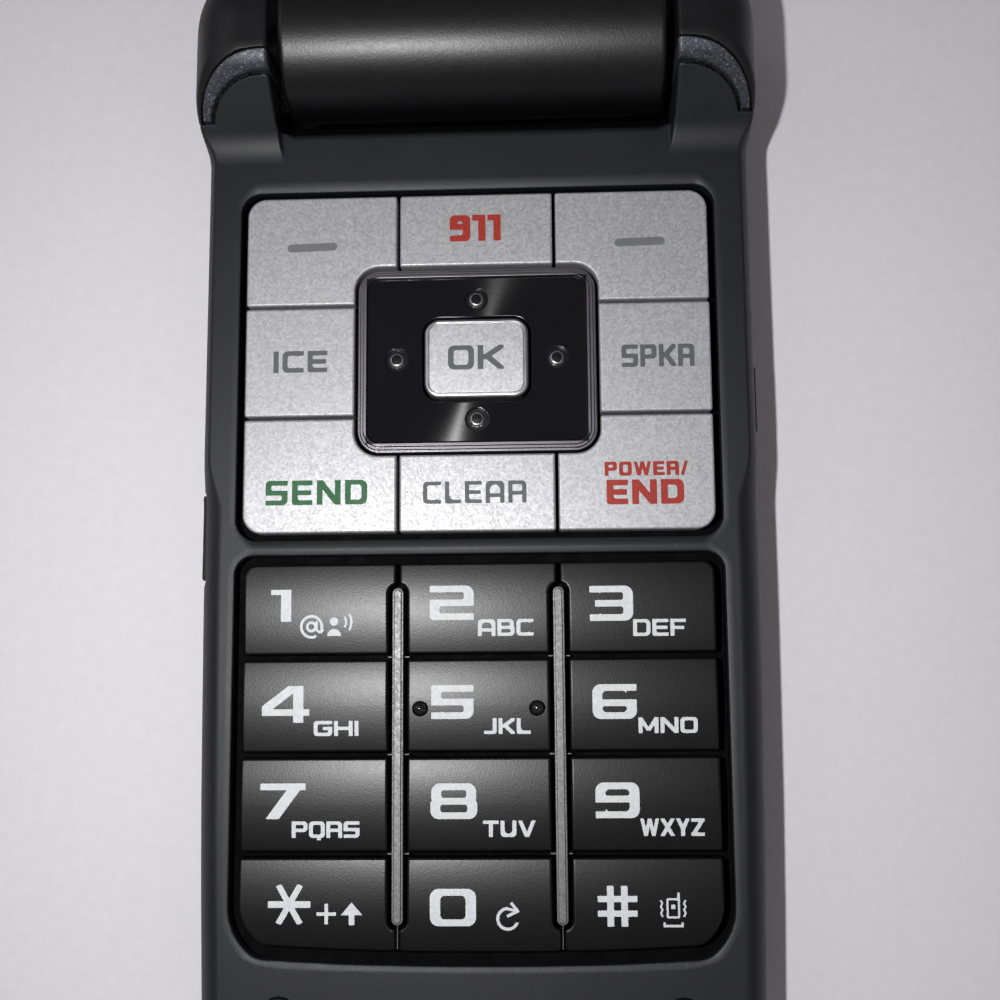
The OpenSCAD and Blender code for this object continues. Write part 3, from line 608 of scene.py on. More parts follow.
def lid_room(x, y):
    ax = np.abs(x)
    f = np.maximum(lid_plan(x, y) + WALL, y - 29.4)
    for sx, sy in LID_SCREWS:
        f = np.maximum(f, 2.1 - length2(ax - sx, y - sy))
    return f

def lid_inner(x, y, z):
    ax = np.abs(x)
    f = cut_round(lid_solid(x, y, z), z - LID_SPLIT + 0.03, 0.15)
    f = join_round(f, barrel(x, y, z), 0.25)
    f = np.maximum(f, -np.maximum(lid_room(x, y), 11.2 - z))
    f = take_round(f, np.maximum(rrect(x, y, 0, -9, 19.95, 27.15, 2.1), z - 11.0), 0.14)
    f = np.maximum(f, -np.maximum(rrect(x, y, 0, -7.5, 17.6, 23.5, 0.4), z - 13))
    f = take_round(f, np.maximum(rrect(x, y, 0, -40.9, 4.5, 0.6, 0.59), z - 12.05), 0.14)
    for sx, sy in LID_SCREWS:
        r = length2(ax - sx, y - sy)
        f = take_round(f, np.maximum(r - 1.4, z - 11.15), 0.1)
        f = np.maximum(f, -np.maximum(r - 0.8, z - 15))
    r = length2(y - HY, z - HZ)
    f = np.maximum(f, -np.maximum(r - 4.0, -14.5 - x))
    f = np.maximum(f, -np.maximum(r - 1.95, x + 14.4))
    return f

def lid_outer(x, y, z):
    ax = np.abs(x)
    f = cut_round(lid_solid(x, y, z), LID_SPLIT + 0.03 - z, 0.15)
    f = take_round(f, length2(y - HY, z - HZ) - BR - 0.02, 0.12)
    f = np.maximum(f, -np.maximum(lid_room(x, y), z - 16.3))
    f = take_round(f, np.maximum(rrect(x, y, 0, 0, 14.6, 12.1, 2.1), 16.65 - z), 0.16)
    f = np.maximum(f, -np.maximum(rrect(x, y, 0, 0, 12, 9, 0.3), 15 - z))
    r = length2(x, y + 26)
    f = take_round(f, np.maximum(r - 3.5, 15 - z), 0.25)
    # shallow ring pressed in around the camera
    f = take_round(f, length2(r - 5.0, z - LID_OUT) - 0.22, 0.08)
    for sx, sy in LID_SCREWS:
        f = np.maximum(f, -np.maximum(length2(ax - sx, y - sy) - 0.72, z - 16))
    return f


# ------------------------------------------------------------------ keys
def rr4(x, y, x0, x1, y0, y1, tl, tr, bl, br):
    "Rectangle with its own radius at each corner."
    cx, cy = (x0 + x1) / 2, (y0 + y1) / 2
    r = np.where(x > cx, np.where(y > cy, tr, br), np.where(y > cy, tl, bl))
    qx, qy = np.abs(x - cx) - (x1 - x0) / 2 + r, np.abs(y - cy) - (y1 - y0) / 2 + r
    return length2(np.maximum(qx, 0), np.maximum(qy, 0)) + np.minimum(np.maximum(qx, qy), 0) - r

def post(x, y, z, px, py, top):
    return np.maximum(cut_round(length2(x - px, y - py) - 1.1, POST_Z - z, 0.12), z - top)

def nav_hole(x, y):
    return rrect(x, y, 0, NAV_Y, NAV_HX, NAV_HY, 2.2)

def silver_plan(kind, x, y):
    r = 0.22
    if kind in ("soft", "call"):
        y0, y1 = (ROW_A + GAP2, 29.35) if kind == "soft" else (-1.15, ROW_B - GAP2)
        big = 1.7
        f = rr4(x, y, 7.1, 20.65, y0, y1, r, big if kind == "soft" else r, r, r if kind == "soft" else big)
    elif kind == "side":
        f = rr4(x, y, NAV_HX - 2, 20.65, ROW_B + GAP2, ROW_A - GAP2, r, r, r, r)
    elif kind == "top":
        f = rr4(x, y, -6.82, 6.82, NAV_Y + 4, 29.35, r, r, r, r)
    else:
        f = rr4(x, y, -6.82, 6.82, -1.15, NAV_Y - 4, r, r, r, r)
    return cut_round(f, -nav_hole(x, y), 0.12)

def silver_top(x, y):
    "Face height of the silver keys: very slightly crowned in each row."
    yc = np.where(y > ROW_A, 24.3, np.where(y > ROW_B, NAV_Y, 3.9))
    crown = np.where(y > ROW_A, 0.045, np.where(y > ROW_B, 0.004, 0.028))
    return SILVER_Z - crown * ((y - yc) / 5.0) ** 2 - 0.000055 * x * x

def silver_key(kind, sign, spot):
    def f(x, y, z):
        x = x * sign
        p = silver_plan(kind, x, y)
        k = cut_round(p, z - silver_top(x, y), 0.20)
        k = cut_round(k, CAP_Z - z, 0.1)
        return np.minimum(k, post(x, y, z, spot[0], spot[1], CAP_Z + 0.2))
    return f

BOW_KEY = 300.0
def number_plan(c, r, x, y):
    y1 = NUM_Y1 - r * PITCH + 0.08
    x0 = -NUM_HX - 0.12 if c == -1 else (-BAR_X + 0.15 if c == 0 else BAR_X + 0.15)
    x1 = NUM_HX + 0.12 if c == 1 else (BAR_X - 0.15 if c == 0 else -BAR_X - 0.15)
    q = 0.28
    tl = 1.1 if (r == 0 and c == -1) else q
    tr = 1.1 if (r == 0 and c == 1) else q
    bl = 4.2 if (r == 3 and c == -1) else q
    br = 4.2 if (r == 3 and c == 1) else q
    f = rr4(x, y, x0, x1, y1 - ROW_H - 0.16, y1, tl, tr, bl, br)
    if r == 3:
        f = cut_round(f, length2(x, y - (-36.55 + BOW_KEY)) - BOW_KEY, 0.3)
    for s in (-1, 1):
        if abs(s * BAR_X - (x0 + x1) / 2) < 8:
            f = cut_round(f, BAR_W / 2 + 0.35 - capsule2(x, y, s * BAR_X, BAR_Y0 + BAR_W / 2, s * BAR_X, BAR_Y1 - BAR_W / 2, 0.0), 0.2)
    return f

def number_top(c, r, x, y):
    yc = NUM_Y1 - r * PITCH - ROW_H / 2
    t = (y - yc) / (ROW_H / 2)
    return NUMBER_Z - 0.02 - 0.22 * t * t - 0.02 * t ** 4 + 0.11 * t - 0.03 * np.maximum(t, 0)

def bump_five(x, y, z):
    """The two touch dots of the middle key; the ring pressed in around each is cut in number_key."""
    out = None
    for dx in (-5.0, 5.02):
        r = length2(x - dx, y + 16.35)
        d = np.sqrt(r * r + (z - (NUMBER_Z - 0.20)) ** 2) - 0.60
        out = d if out is None else np.minimum(out, d)
    return out

def number_key(c, r):
    def f(x, y, z):
        p = number_plan(c, r, x, y)
        k = cut_round(p, z - number_top(c, r, x, y), 0.24)
        if (c, r) == (0, 1):
            for dx in (-5.0, 5.02):
                k = take_round(k, length2(length2(x - dx, y + 16.35) - 0.56, z - NUMBER_Z + 0.10) - 0.10, 0.03)
        k = np.maximum(k, CAP_Z - z)
        return np.minimum(k, post(x, y, z, c * 13.85, NUM_Y1 - ROW_H / 2 - r * PITCH, CAP_Z + 0.2))
    return f

def dots_five(x, y, z):
    return np.maximum(bump_five(x, y, z), NUMBER_Z - 0.45 - z)

def bars(x, y, z):
    ax = np.abs(x)
    dx = ax - BAR_X
    p = capsule2(ax, y, BAR_X, BAR_Y0 + BAR_W / 2, BAR_X, BAR_Y1 - BAR_W / 2, BAR_W / 2)
    top = 9.30 - 0.20 * smooth((0.02 + p + 0.22) / 0.2) * 0.5
    f = cut_round(p, z - 9.30, 0.10)
    # flat crest with a lower shoulder all round it
    shoulder = cut_round(-(p + 0.17), 9.12 - z, 0.03)
    f = take_round(f, shoulder, 0.06)
    f = np.maximum(f, 7.1 - z)
    # thin webs: below the lower end and into the gaps between the rows
    fin = box3(ax, y, z, BAR_X - 0.055, BAR_X + 0.055, -36.3, BAR_Y0 + 0.2, 7.1, 8.85, 0.02)
    f = np.minimum(f, fin)
    for r in range(3):
        yg = NUM_Y1 - ROW_H - 0.3 - r * PITCH
        f = np.minimum(f, box3(ax, y, z, BAR_X - 0.95, BAR_X + 0.95, yg - 0.06, yg + 0.06, 7.1, 8.45, 0.02))
    return f

NAV_DOTS = ((0.0, 19.62), (-7.1, NAV_Y), (7.1, NAV_Y), (0.0, 8.78))

def nav_face(x, y):
    return 9.24 + 0.0 * x

def nav_ring(x, y, z):
    out = rrect(x, y, 0, NAV_Y, 10.6, 8.31, 2.0)
    hole = rrect(x, y, 0, NAV_Y, 4.82, 3.77, 1.55)
    # stepped rim: outer step, middle step, inner crest, then the sunken face
    top = 9.10 + 0.17 * smooth((-out - 0.20) / 0.10) + 0.18 * smooth((-out - 0.48) / 0.10) - 0.21 * smooth((-out - 0.80) / 0.16)
    f = cut_round(out, (z - top) * 0.75, 0.08)
    f = cut_round(f, -hole, 0.12)
    f = np.maximum(f, 8.35 - z)
    for dx, dy in NAV_DOTS:
        r = length2(x - dx, y - dy)
        f = take_round(f, np.maximum(np.abs(r - 0.80) - 0.17, 9.02 - z), 0.07)
        f = np.minimum(f, np.maximum(cut_round(r - 0.64, z - 9.40 + 0.05 * np.minimum(r, 0.6), 0.17), 8.9 - z))
    for s in (-1, 1):
        f = np.minimum(f, np.maximum(length2(x - s * 7.1, y - NAV_Y) - 0.8, np.maximum(POST_Z - z, z - 8.5)))
        f = np.minimum(f, np.maximum(length2(x, z - 8.2) - 0.18, np.abs(y - NAV_Y - s * 6) - 0.8))
    return f

def ok_frame(x, y, z):
    p = rrect(x, y, 0, NAV_Y, 4.6, 3.55, 1.35)
    top = OK_Z - 0.02 - 0.16 * np.clip((p + 0.30) / 0.30, 0, 1) ** 2
    f = cut_round(p, z - top, 0.10)
    f = take_round(f, np.maximum(p + 0.33, 9.45 - z), 0.05)
    f = np.maximum(f, 7.9 - z)
    return np.minimum(f, post(x, y, z, 0, NAV_Y, 8.2))

def ok_face(x, y, z):
    p = rrect(x, y, 0, NAV_Y, 4.6, 3.55, 1.35) + 0.42
    top = OK_Z - 0.03 - 0.04 * ((y - NAV_Y) / 3.2) ** 2
    return np.maximum(cut_round(p, z - top, 0.08), 9.4 - z)

def nav_collar(x, y, z):
    p = rrect(x, y, 0, NAV_Y, 9.6, 7.2, 1.5)
    f = np.maximum(p, -rrect(x, y, 0, NAV_Y, 5.0, 3.95, 1.3))
    f = cut_round(f, np.abs(z - 7.8) - 0.2, 0.06)
    for s in (-1, 1):
        f = np.maximum(f, 1.3 - length2(x - s * 7.1, y - NAV_Y))
        f = np.minimum(f, np.maximum(length2(x, y - NAV_Y - s * 5.5) - 0.8, np.abs(z - 7.3) - 0.4))
        f = np.minimum(f, np.maximum(length2(y - NAV_Y, z - 7.37) - 0.25, np.abs(x - s * 9.05) - 0.45))
    return f

def side_button(y0, y1, sign, flange_top):
    def f(x, y, z):
        d = 24.92 - sign * x
        yc, hy = (y0 + y1) / 2, (y1 - y0) / 2 - 0.15
        p = rrect(y, z, yc, 6.8, hy, 0.8, 0.45)
        skin = base_body(x, y, z) - 0.20          # the face follows the slope of the housing
        k = cut_round(p, skin, 0.22)
        k = np.maximum(k, d - 1.55)
        # a shallow groove along the face
        k = take_round(k, np.maximum(rrect(y, z, yc, 6.8, hy - 1.1, 0.22, 0.2), -0.12 - skin), 0.06)
        zc, hz = (5.65 + flange_top) / 2, (flange_top - 5.65) / 2
        fl = np.maximum(rrect(y, z, yc, zc, hy + 0.55, hz, 0.1), np.abs(d - 1.675) - 0.175)
        return np.minimum(k, fl)
    return f

def bumpers(x, y, z):
    r = length2(np.abs(x) - 16.85, y + 41.6)
    f = cut_round(r - 1.45, z - 9.52, 0.10)
    dome = np.sqrt(r * r + (z - 8.73) ** 2) - 1.2
    f = join_round(f, dome, 0.12)
    return np.maximum(f, 8.6 - z)

def pan_head(x, y, z, z0, z1):
    "A small cross-recess screw, its head facing down."
    r = length2(x, y)
    f = cut_round(r - 1.35, z0 - z, 0.25)
    f = np.maximum(f, z - z0 - 1.0)
    thread = r - 0.66 - 0.05 * np.sin(z * 2 * math.pi / 0.45)
    f = np.minimum(f, np.maximum(thread * 0.8, np.maximum(z0 + 0.8 - z, z - z1)))
    ax, ay = np.abs(x), np.abs(y)
    deep = z - z0 - 0.62 + r * 0.45
    cross = np.minimum(np.maximum(ax - 0.13, ay - 0.72), np.maximum(ay - 0.13, ax - 0.72))
    return take_round(f, np.maximum(cross, deep), 0.05)

def frame_screw(px, py, z0, z1):
    return lambda x, y, z: pan_head(x - px, y - py, z, z0, z1)

def lens(hx, hy, yc, z0, z1, up):
    def f(x, y, z):
        p = rrect(x, y, 0, yc, hx, hy, 2.0)
        a, b = (z - z1, z0 - z) if up else (z0 - z, z - z1)
        return np.maximum(cut_round(p, a, 0.14), b)
    return f

def receiver(x, y, z):
    "Earpiece capsule with the perforated plate that shows in the slot."
    p = rrect(x, y, 0, -41.1, 6, 2.9, 1.5)
    f = cut_round(p, np.abs(z - 12.35) - 1.1, 0.1)
    hx = (np.mod(x + 0.45, 0.9) - 0.45)
    row = np.round((y + 40.9) / 0.45)
    hx = np.where(np.mod(row, 2) == 0, hx, np.mod(x, 0.9) - 0.45)
    hy = y + 40.9 - row * 0.45
    holes = np.maximum(np.maximum(length2(hx, hy) - 0.14, np.abs(y + 40.9) - 0.7), np.maximum(np.abs(x) - 4.4, z - 11.6))
    return np.maximum(f, -holes)

def camera_barrel(x, y, z):
    r = length2(x, y + 26)
    f = np.maximum(r - 4.4, np.maximum(13.7 - z, z - 16.25))
    f = np.minimum(f, cut_round(r - 3.4, np.maximum(16.2 - z, z - 17.35), 0.15))
    cone = r - 1.0 - 0.9 * np.clip(z - 16.4, 0, 2)
    f = take_round(f, np.maximum(cone, 16.45 - z), 0.08)
    for rr in (2.15, 2.6):
        f = take_round(f, length2(r - rr, z - 17.35) - 0.08, 0.03)
    return f

def camera_glass(x, y, z):
    r = length2(x, y + 26)
    return np.maximum(np.sqrt(r * r + (z - 14.2) ** 2) - 2.6, np.maximum(16.46 - z, r - 1.05))


# ------------------------------------------------------------------ glyphs
def box2(u, v, x0, x1, y0, y1):
    return np.maximum(span(u, x0, x1), span(v, y0, y1))

def seg(u, v, x0, y0, x1, y1, t, grow=0.0):
    dx, dy = x1 - x0, y1 - y0
    L = math.hypot(dx, dy)
    along = ((u - x0) * dx + (v - y0) * dy) / L - L / 2
    across = (-(u - x0) * dy + (v - y0) * dx) / L
    return np.maximum(np.abs(along) - L / 2 - grow, np.abs(across) - t / 2)

def loop(u, v, x0, x1, y0, y1, tv, th, radii, inner=None):
    "A squared ring with its own outer radius at each corner: top left, top right, bottom left, bottom right."
    o = rr4(u, v, x0, x1, y0, y1, *radii)
    ri = [max(r - max(tv, th), 0.12 * (y1 - y0)) if r > 0 else 0.02 for r in radii] if inner is None else inner
    i = rr4(u, v, x0 + tv, x1 - tv, y0 + th, y1 - th, *ri)
    return np.maximum(o, -i)

def glyph(ch, u, v, W, H, tv, th):
    R = min(W, H) * 0.24
    m0, m1 = H / 2 - th / 2, H / 2 + th / 2
    lo, hi = (lambda r: loop(u, v, 0, W, 0, m1, tv, th, r)), (lambda r: loop(u, v, 0, W, m0, H, tv, th, r))
    full = lambda r: loop(u, v, 0, W, 0, H, tv, th, r)
    clip = lambda f: np.maximum(f, box2(u, v, 0, W, 0, H))
    left = box2(u, v, 0, tv, 0, H)
    right = box2(u, v, W - tv, W, 0, H)
    B = lambda *a: box2(u, v, *a)
    far = tv * 4
    if ch in "0O":
        return full((R, R, R, R))
    if ch == "1":
        return np.minimum(right, B(0, W, H - th, H))
    if ch == "I":
        return B(0, W, 0, H)
    if ch == "2":
        a = np.maximum(hi((0.05, R, 0, R)), -B(-far, tv + 0.001, m1, H - th))
        b = np.maximum(lo((R, 0, R * 0.5, 0.05)), -B(W - tv - 0.001, W + far, th, m0))
        return np.minimum(a, b)
    if ch in "5S":
        a = np.maximum(hi((R * 0.8 if ch == "S" else 0.15, 0.05, R * 0.4, 0)), -B(W - tv - 0.001, W + far, m1, H - th))
        b = np.maximum(lo((0, R, 0.05, R)), -B(-far, tv + 0.001, th, m0))
        return np.minimum(a, b)
    if ch == "3":
        a = np.maximum(hi((0.05, R, 0, R * 0.6)), -B(-far, tv + 0.001, m1, H - th))
        b = np.maximum(lo((0, R * 0.6, 0.05, R)), -B(-far, tv + 0.001, th, m0))
        a = np.maximum(a, -B(-far, tv * 0.55, m0 - 0.01, m1 + 0.01))
        b = np.maximum(b, -B(-far, tv * 0.55, m0 - 0.01, m1 + 0.01))
        return np.minimum(a, b)
    if ch == "4":
        vx = W * 0.66
        f = B(vx, vx + tv, 0, H)
        f = np.minimum(f, B(0, W, H * 0.19, H * 0.19 + th))
        d = np.maximum(seg(u, v, 0.0, H * 0.19 + th * 0.6, vx + tv * 0.3, H + th * 0.1, th * 1.35, W), B(0, vx + tv, H * 0.19, H))
        return np.minimum(f, d)
    if ch == "6":
        k = H * 0.56
        f = np.maximum(full((R, 0.05, R, R)), -B(W - tv - 0.001, W + far, k, H - th))
        bowl = loop(u, v, 0, W, 0, k + 0.001, tv, th, (0.05, R, R, R))
        return np.minimum(f, bowl)
    if ch == "9":
        return glyph("6", W - u, H - v, W, H, tv, th)
    if ch == "7":
        d = np.maximum(seg(u, v, W * 0.27, 0, W - tv * 0.62, H, tv * 0.92, W), B(0, W, 0, H))
        return np.minimum(B(0, W, H - th, H), d)
    if ch == "8":
        a = loop(u, v, W * 0.02, W * 0.98, m0, H, tv, th, (R, R, R * 0.8, R * 0.8))
        b = loop(u, v, 0, W, 0, m1, tv, th, (R * 0.8, R * 0.8, R, R))
        return np.minimum(a, b)
    if ch == "A":
        f = np.maximum(loop(u, v, 0, W, -H, H, tv, th, (R, R, 0, 0)), -v)
        return np.minimum(f, B(tv / 2, W - tv / 2, H * 0.26, H * 0.26 + th))
    if ch == "B":
        a = loop(u, v, 0, W * 0.96, m0, H, tv, th, (0, R, 0, R * 0.7))
        return np.minimum(a, lo((0, R * 0.7, 0, R)))
    if ch == "C":
        return np.maximum(full((R, 0.05, R, 0.05)), -B(W - tv - 0.001, W + far, th, H - th))
    if ch == "D":
        return full((0.0, R * 1.2, 0.0, R * 1.2))
    if ch == "E":
        return np.minimum(np.maximum(full((0.0, 0.0, R * 0.6, 0.0)), -B(W - tv - 0.001, W + far, th, H - th)), B(0, W * 0.94, m0, m1))
    if ch == "F":
        return np.minimum(np.minimum(left, B(0, W, H - th, H)), B(0, W * 0.9, m0 * 0.98, m1 * 0.98))
    if ch == "G":
        f = np.maximum(full((R, 0.05, R, R)), -B(W - tv - 0.001, W + far, H * 0.5, H - th))
        return np.minimum(f, B(W * 0.5, W, H * 0.5 - th / 2, H * 0.5 + th / 2))
    if ch == "H":
        return np.minimum(np.minimum(left, right), B(0, W, m0, m1))
    if ch == "J":
        f = np.minimum(np.maximum(loop(u, v, 0, W, 0, H + H, tv, th, (0, 0, 0.05, R)), v - H), 9 + 0 * u)
        return np.maximum(f, -B(-far, W - tv - 0.0, th, H + far))
    if ch == "K":
        a = seg(u, v, tv, H * 0.44, W, H, th * 1.15, W)
        b = seg(u, v, tv * 1.3, H * 0.62, W - th * 0.3, 0, th * 1.2, W)
        a = np.maximum(a, np.maximum(-(v - H * 0.40), B(tv * 0.5, W, 0, H)))
        b = np.maximum(b, np.maximum(v - H * 0.62, B(tv * 0.9, W, 0, H)))
        return np.minimum(left, np.minimum(a, b))
    if ch == "L":
        return np.maximum(loop(u, v, 0, W + W, 0, H + H, tv, th, (0, 0, R * 0.6, 0)), B(0, W, 0, H))
    if ch == "M":
        a = np.maximum(seg(u, v, tv * 0.4, H, W / 2, H * 0.18, th * 1.1, W), np.maximum(u - W / 2, H * 0.16 - v))
        b = np.maximum(seg(u, v, W - tv * 0.4, H, W / 2, H * 0.18, th * 1.1, W), np.maximum(W / 2 - u, H * 0.16 - v))
        return clip(np.minimum(np.minimum(left, right), np.minimum(a, b)))
    if ch == "N":
        return clip(np.minimum(np.minimum(left, right), seg(u, v, tv * 0.5, H - th * 0.2, W - tv * 0.5, th * 0.2, th * 1.2, W)))
    if ch == "P":
        return np.minimum(left, loop(u, v, 0, W, H * 0.36, H, tv, th, (0, R, 0, R)))
    if ch == "Q":
        return np.minimum(full((R, R, R, R)), seg(u, v, W * 0.62, H * 0.18, W * 0.62, -H * 0.14, tv))
    if ch == "R":
        a = loop(u, v, 0, W, H * 0.36, H, tv, th, (0, R, 0, R * 0.5))
        return np.minimum(np.minimum(left, a), B(W - tv, W, 0, H * 0.42))
    if ch == "T":
        return np.minimum(B(0, W, H - th, H), B(W / 2 - tv / 2, W / 2 + tv / 2, 0, H))
    if ch == "U":
        return np.maximum(loop(u, v, 0, W, 0, H + H, tv, th, (0, 0, R, R)), v - H)
    if ch == "V":
        a = seg(u, v, tv * 0.45, H, W / 2, 0, tv * 0.95, W)
        b = seg(u, v, W - tv * 0.45, H, W / 2, 0, tv * 0.95, W)
        return clip(np.minimum(np.maximum(a, u - W / 2 - tv * 0.4), np.maximum(b, W / 2 - tv * 0.4 - u)))
    if ch == "W":
        q = W / 4
        f = None
        for x0, y0, x1, y1 in ((tv * 0.4, H, q * 1.15, 0), (q * 1.15, 0, W / 2, H), (W / 2, H, W - q * 1.15, 0), (W - q * 1.15, 0, W - tv * 0.4, H)):
            s = np.maximum(seg(u, v, x0, y0, x1, y1, tv * 0.85, W), box2(u, v, min(x0, x1) - tv * 0.45, max(x0, x1) + tv * 0.45, 0, H))
            f = s if f is None else np.minimum(f, s)
        return clip(f)
    if ch == "X":
        return clip(np.minimum(seg(u, v, tv * 0.45, 0, W - tv * 0.45, H, tv * 0.95, W), seg(u, v, tv * 0.45, H, W - tv * 0.45, 0, tv * 0.95, W)))
    if ch == "Y":
        a = np.maximum(seg(u, v, tv * 0.45, H, W / 2, H * 0.40, tv * 0.95, W), np.maximum(u - W / 2 - tv * 0.3, H * 0.38 - v))
        b = np.maximum(seg(u, v, W - tv * 0.45, H, W / 2, H * 0.40, tv * 0.95, W), np.maximum(W / 2 - tv * 0.3 - u, H * 0.38 - v))
        return clip(np.minimum(np.minimum(a, b), B(W / 2 - tv / 2, W / 2 + tv / 2, 0, H * 0.5)))
    if ch == "Z":
        d = np.maximum(seg(u, v, tv * 0.5, th * 0.4, W - tv * 0.5, H - th * 0.4, tv * 0.95, W), B(0, W, 0, H))
        return np.minimum(np.minimum(B(0, W, H - th, H), B(0, W, 0, th)), d)
    if ch == "/":
        return clip(seg(u, v, tv * 0.3, 0, W - tv * 0.3, H, tv * 0.8, W))
    raise ValueError(ch)

WIDE = {"I": None, "1": 0.62, "M": 1.16, "W": 1.34, "N": 1.04, "O": 1.0, "J": 0.78, "L": 0.86, "F": 0.86, "E": 0.9, "K": 1.0,
        "V": 1.06, "T": 0.96, "/": 0.52, "X": 1.04, "A": 1.0, "9": 0.96}

def word(text, x0, x1, y0, y1, tv, th, gap):
    "The field of a word that fills a box."
    rel = [WIDE.get(c, 0.97) for c in text]
    fixed = sum(tv for r in rel if r is None) + gap * (len(text) - 1)
    unit = (x1 - x0 - fixed) / max(sum(r for r in rel if r is not None), 1e-9)
    H = y1 - y0
    spots, x = [], x0
    for c, r in zip(text, rel):
        w = tv if r is None else r * unit
        spots.append((c, x, w))
        x += w + gap
    def f(X, Y):
        out = np.full(np.shape(X), 9.0)
        for c, sx, w in spots:
            out = np.minimum(out, glyph(c, X - sx, Y - y0, w, H, tv, th))
        return out
    return f

def contour_plate(f, x0, x1, y0, y1, step, top, lift=0.010, deep=0.030):
    "A thin closed plate over the area where f is negative, lying on the surface top(x, y)."
    xs = np.arange(x0 - 2 * step, x1 + 3 * step, step)
    ys = np.arange(y0 - 2 * step, y1 + 3 * step, step)
    X, Y = np.meshgrid(xs, ys, indexing="ij")
    V = f(X, Y)
    V = np.where(np.abs(V) < 1e-6, 1e-6, V)
    S = V < 0
    nx, ny = S.shape
    vid, pts = {}, []
    def corner(i, j):
        k = (0, i, j)
        if k not in vid:
            vid[k] = len(pts); pts.append((xs[i], ys[j]))
        return vid[k]
    def cross(i, j, a, b):
        if (a, b) < (i, j):
            i, j, a, b = a, b, i, j
        k = (1, i, j, a, b)
        if k not in vid:
            t = V[i, j] / (V[i, j] - V[a, b])
            vid[k] = len(pts); pts.append((xs[i] + t * (xs[a] - xs[i]), ys[j] + t * (ys[b] - ys[j])))
        return vid[k]
    faces, walls = [], []
    n_in = S[:-1, :-1].astype(int) + S[1:, :-1] + S[1:, 1:] + S[:-1, 1:]
    for i, j in zip(*np.nonzero(n_in)):
        c = ((i, j), (i + 1, j), (i + 1, j + 1), (i, j + 1))
        s = [S[p] for p in c]
        if all(s):
            faces.append([corner(*p) for p in c]); continue
        polys = [[]]
        if s[0] == s[2] and s[1] == s[3]:
            polys = []
            for k in range(4):
                if s[k]:
                    e1, e2 = cross(*c[k - 1], *c[k]), cross(*c[k], *c[(k + 1) % 4])
                    polys.append([e1, corner(*c[k]), e2]); walls.append((e2, e1))
            faces += polys; continue
        poly, exits = [], []
        for k in range(4):
            a, b = c[k], c[(k + 1) % 4]
            if s[k]:
                poly.append(corner(*a))
            if s[k] != s[(k + 1) % 4]:
                e = cross(*a, *b); poly.append(e); exits.append((e, s[k]))
        faces.append(poly)
        out = [e for e, leaving in exits if leaving][0]
        back = [e for e, leaving in exits if not leaving][0]
        walls.append((out, back))
    pts = np.array(pts)
    if not len(pts):
        raise RuntimeError("an empty legend")
    n = len(pts)
    zt = top(pts[:, 0], pts[:, 1])
    P = np.concatenate([np.column_stack([pts, zt + lift]), np.column_stack([pts, zt - deep])])
    F = [list(q) for q in faces] + [[v + n for v in reversed(q)] for q in faces]
    F += [[b, a, a + n, b + n] for a, b in walls]
    return P, F

def legend(name, f, box, mat, body, top, step=0.055):
    P, F = contour_plate(f, box[0], box[1], box[2], box[3], step, top)
    return make(name, P, F, mat, body, smooth_shade=False)

def both(*fs):
    return lambda X, Y: np.minimum.reduce([f(X, Y) for f in fs])


# ------------------------------------------------------------------ more materials
M_RUBBER = plain("soft_rubber", (0.012, 0.012, 0.013), 0.65, spec=0.3, grain=4000, bump=0.2)
# black silicone web, darkened further and given weak specular as painted shade in the gaps between the keys
M_WEB_SHADED = plain("silicone_web", (0.0022, 0.0022, 0.0026), 0.75, spec=0.06, grain=2500, bump=0.15)
M_BAR = silver_paint("bar_grey", (0.165, 0.162, 0.165), 0.42, 0.54)
M_STEEL = plain("steel", (0.45, 0.45, 0.46), 0.32, 1.0, vary=0.1, grain=5000, bump=0.15)
M_HINGE = plain("black_hinge_steel", (0.010, 0.010, 0.011), 0.5, spec=0.3, vary=0.2, grain=5000, bump=0.15)
M_SCREW = plain("black_screw", (0.09, 0.09, 0.095), 0.38, 1.0, vary=0.2, grain=5000, bump=0.15)
M_TIN = plain("tinned_steel", (0.55, 0.55, 0.54), 0.35, 1.0, vary=0.1, grain=2500, bump=0.2)
M_GOLD = plain("contact_gold", (0.62, 0.42, 0.14), 0.3, 1.0, vary=0.1)
M_CARRIER = plain("carrier_plastic", (0.62, 0.58, 0.47), 0.5, spec=0.4)
M_SPEAKER = plain("speaker_black", (0.02, 0.02, 0.022), 0.45)
M_AMBER = plain("flex_amber", (0.34, 0.15, 0.03), 0.35, spec=0.5)
M_FRAME_GREY = plain("carrier_grey", (0.05, 0.05, 0.055), 0.5)


def board_material():
    m = Mat("circuit_board").set(spec=0.5)
    n = m.noise(900, 3)
    vor = m.voronoi(420, "DISTANCE_TO_EDGE", 0.6)
    track = m.ramp(vor.outputs["Distance"], [(0.0, (0.010, 0.085, 0.030)), (0.07, (0.010, 0.085, 0.030)), (0.10, (0.004, 0.045, 0.016))])
    m.color(track).rough(n, 0.25, 0.4, 0.3, 0.7)
    m.bump(vor.outputs["Distance"], 0.15, 0.00003)
    return m.m

def wrap_material():
    m = Mat("battery_wrap").set(spec=0.5, coat=0.3, coat_rough=0.2)
    n = m.noise(300, 4)
    m.color(m.ramp(n, [(0.3, (0.045, 0.045, 0.052)), (0.7, (0.060, 0.060, 0.068))])).rough(n, 0.35, 0.5, 0.3, 0.7)
    m.bump(m.noise(600, 4, 0.6), 0.2, 0.00005)
    return m.m

def gloss_black(name, coat=1.0, rough=0.08):
    m = Mat(name).set(spec=0.5, coat=coat, coat_rough=0.04)
    smear = m.noise(90, 5, 0.65, (1.0, 2.4, 1.0))
    m.color(m.ramp(smear, [(0.35, (0.0045, 0.0045, 0.005)), (0.65, (0.007, 0.007, 0.008))]))
    m.rough(smear, rough, rough + 0.14, 0.4, 0.68)
    m.bump(m.noise(2200, 2), 0.02, 0.00001)
    return m.m

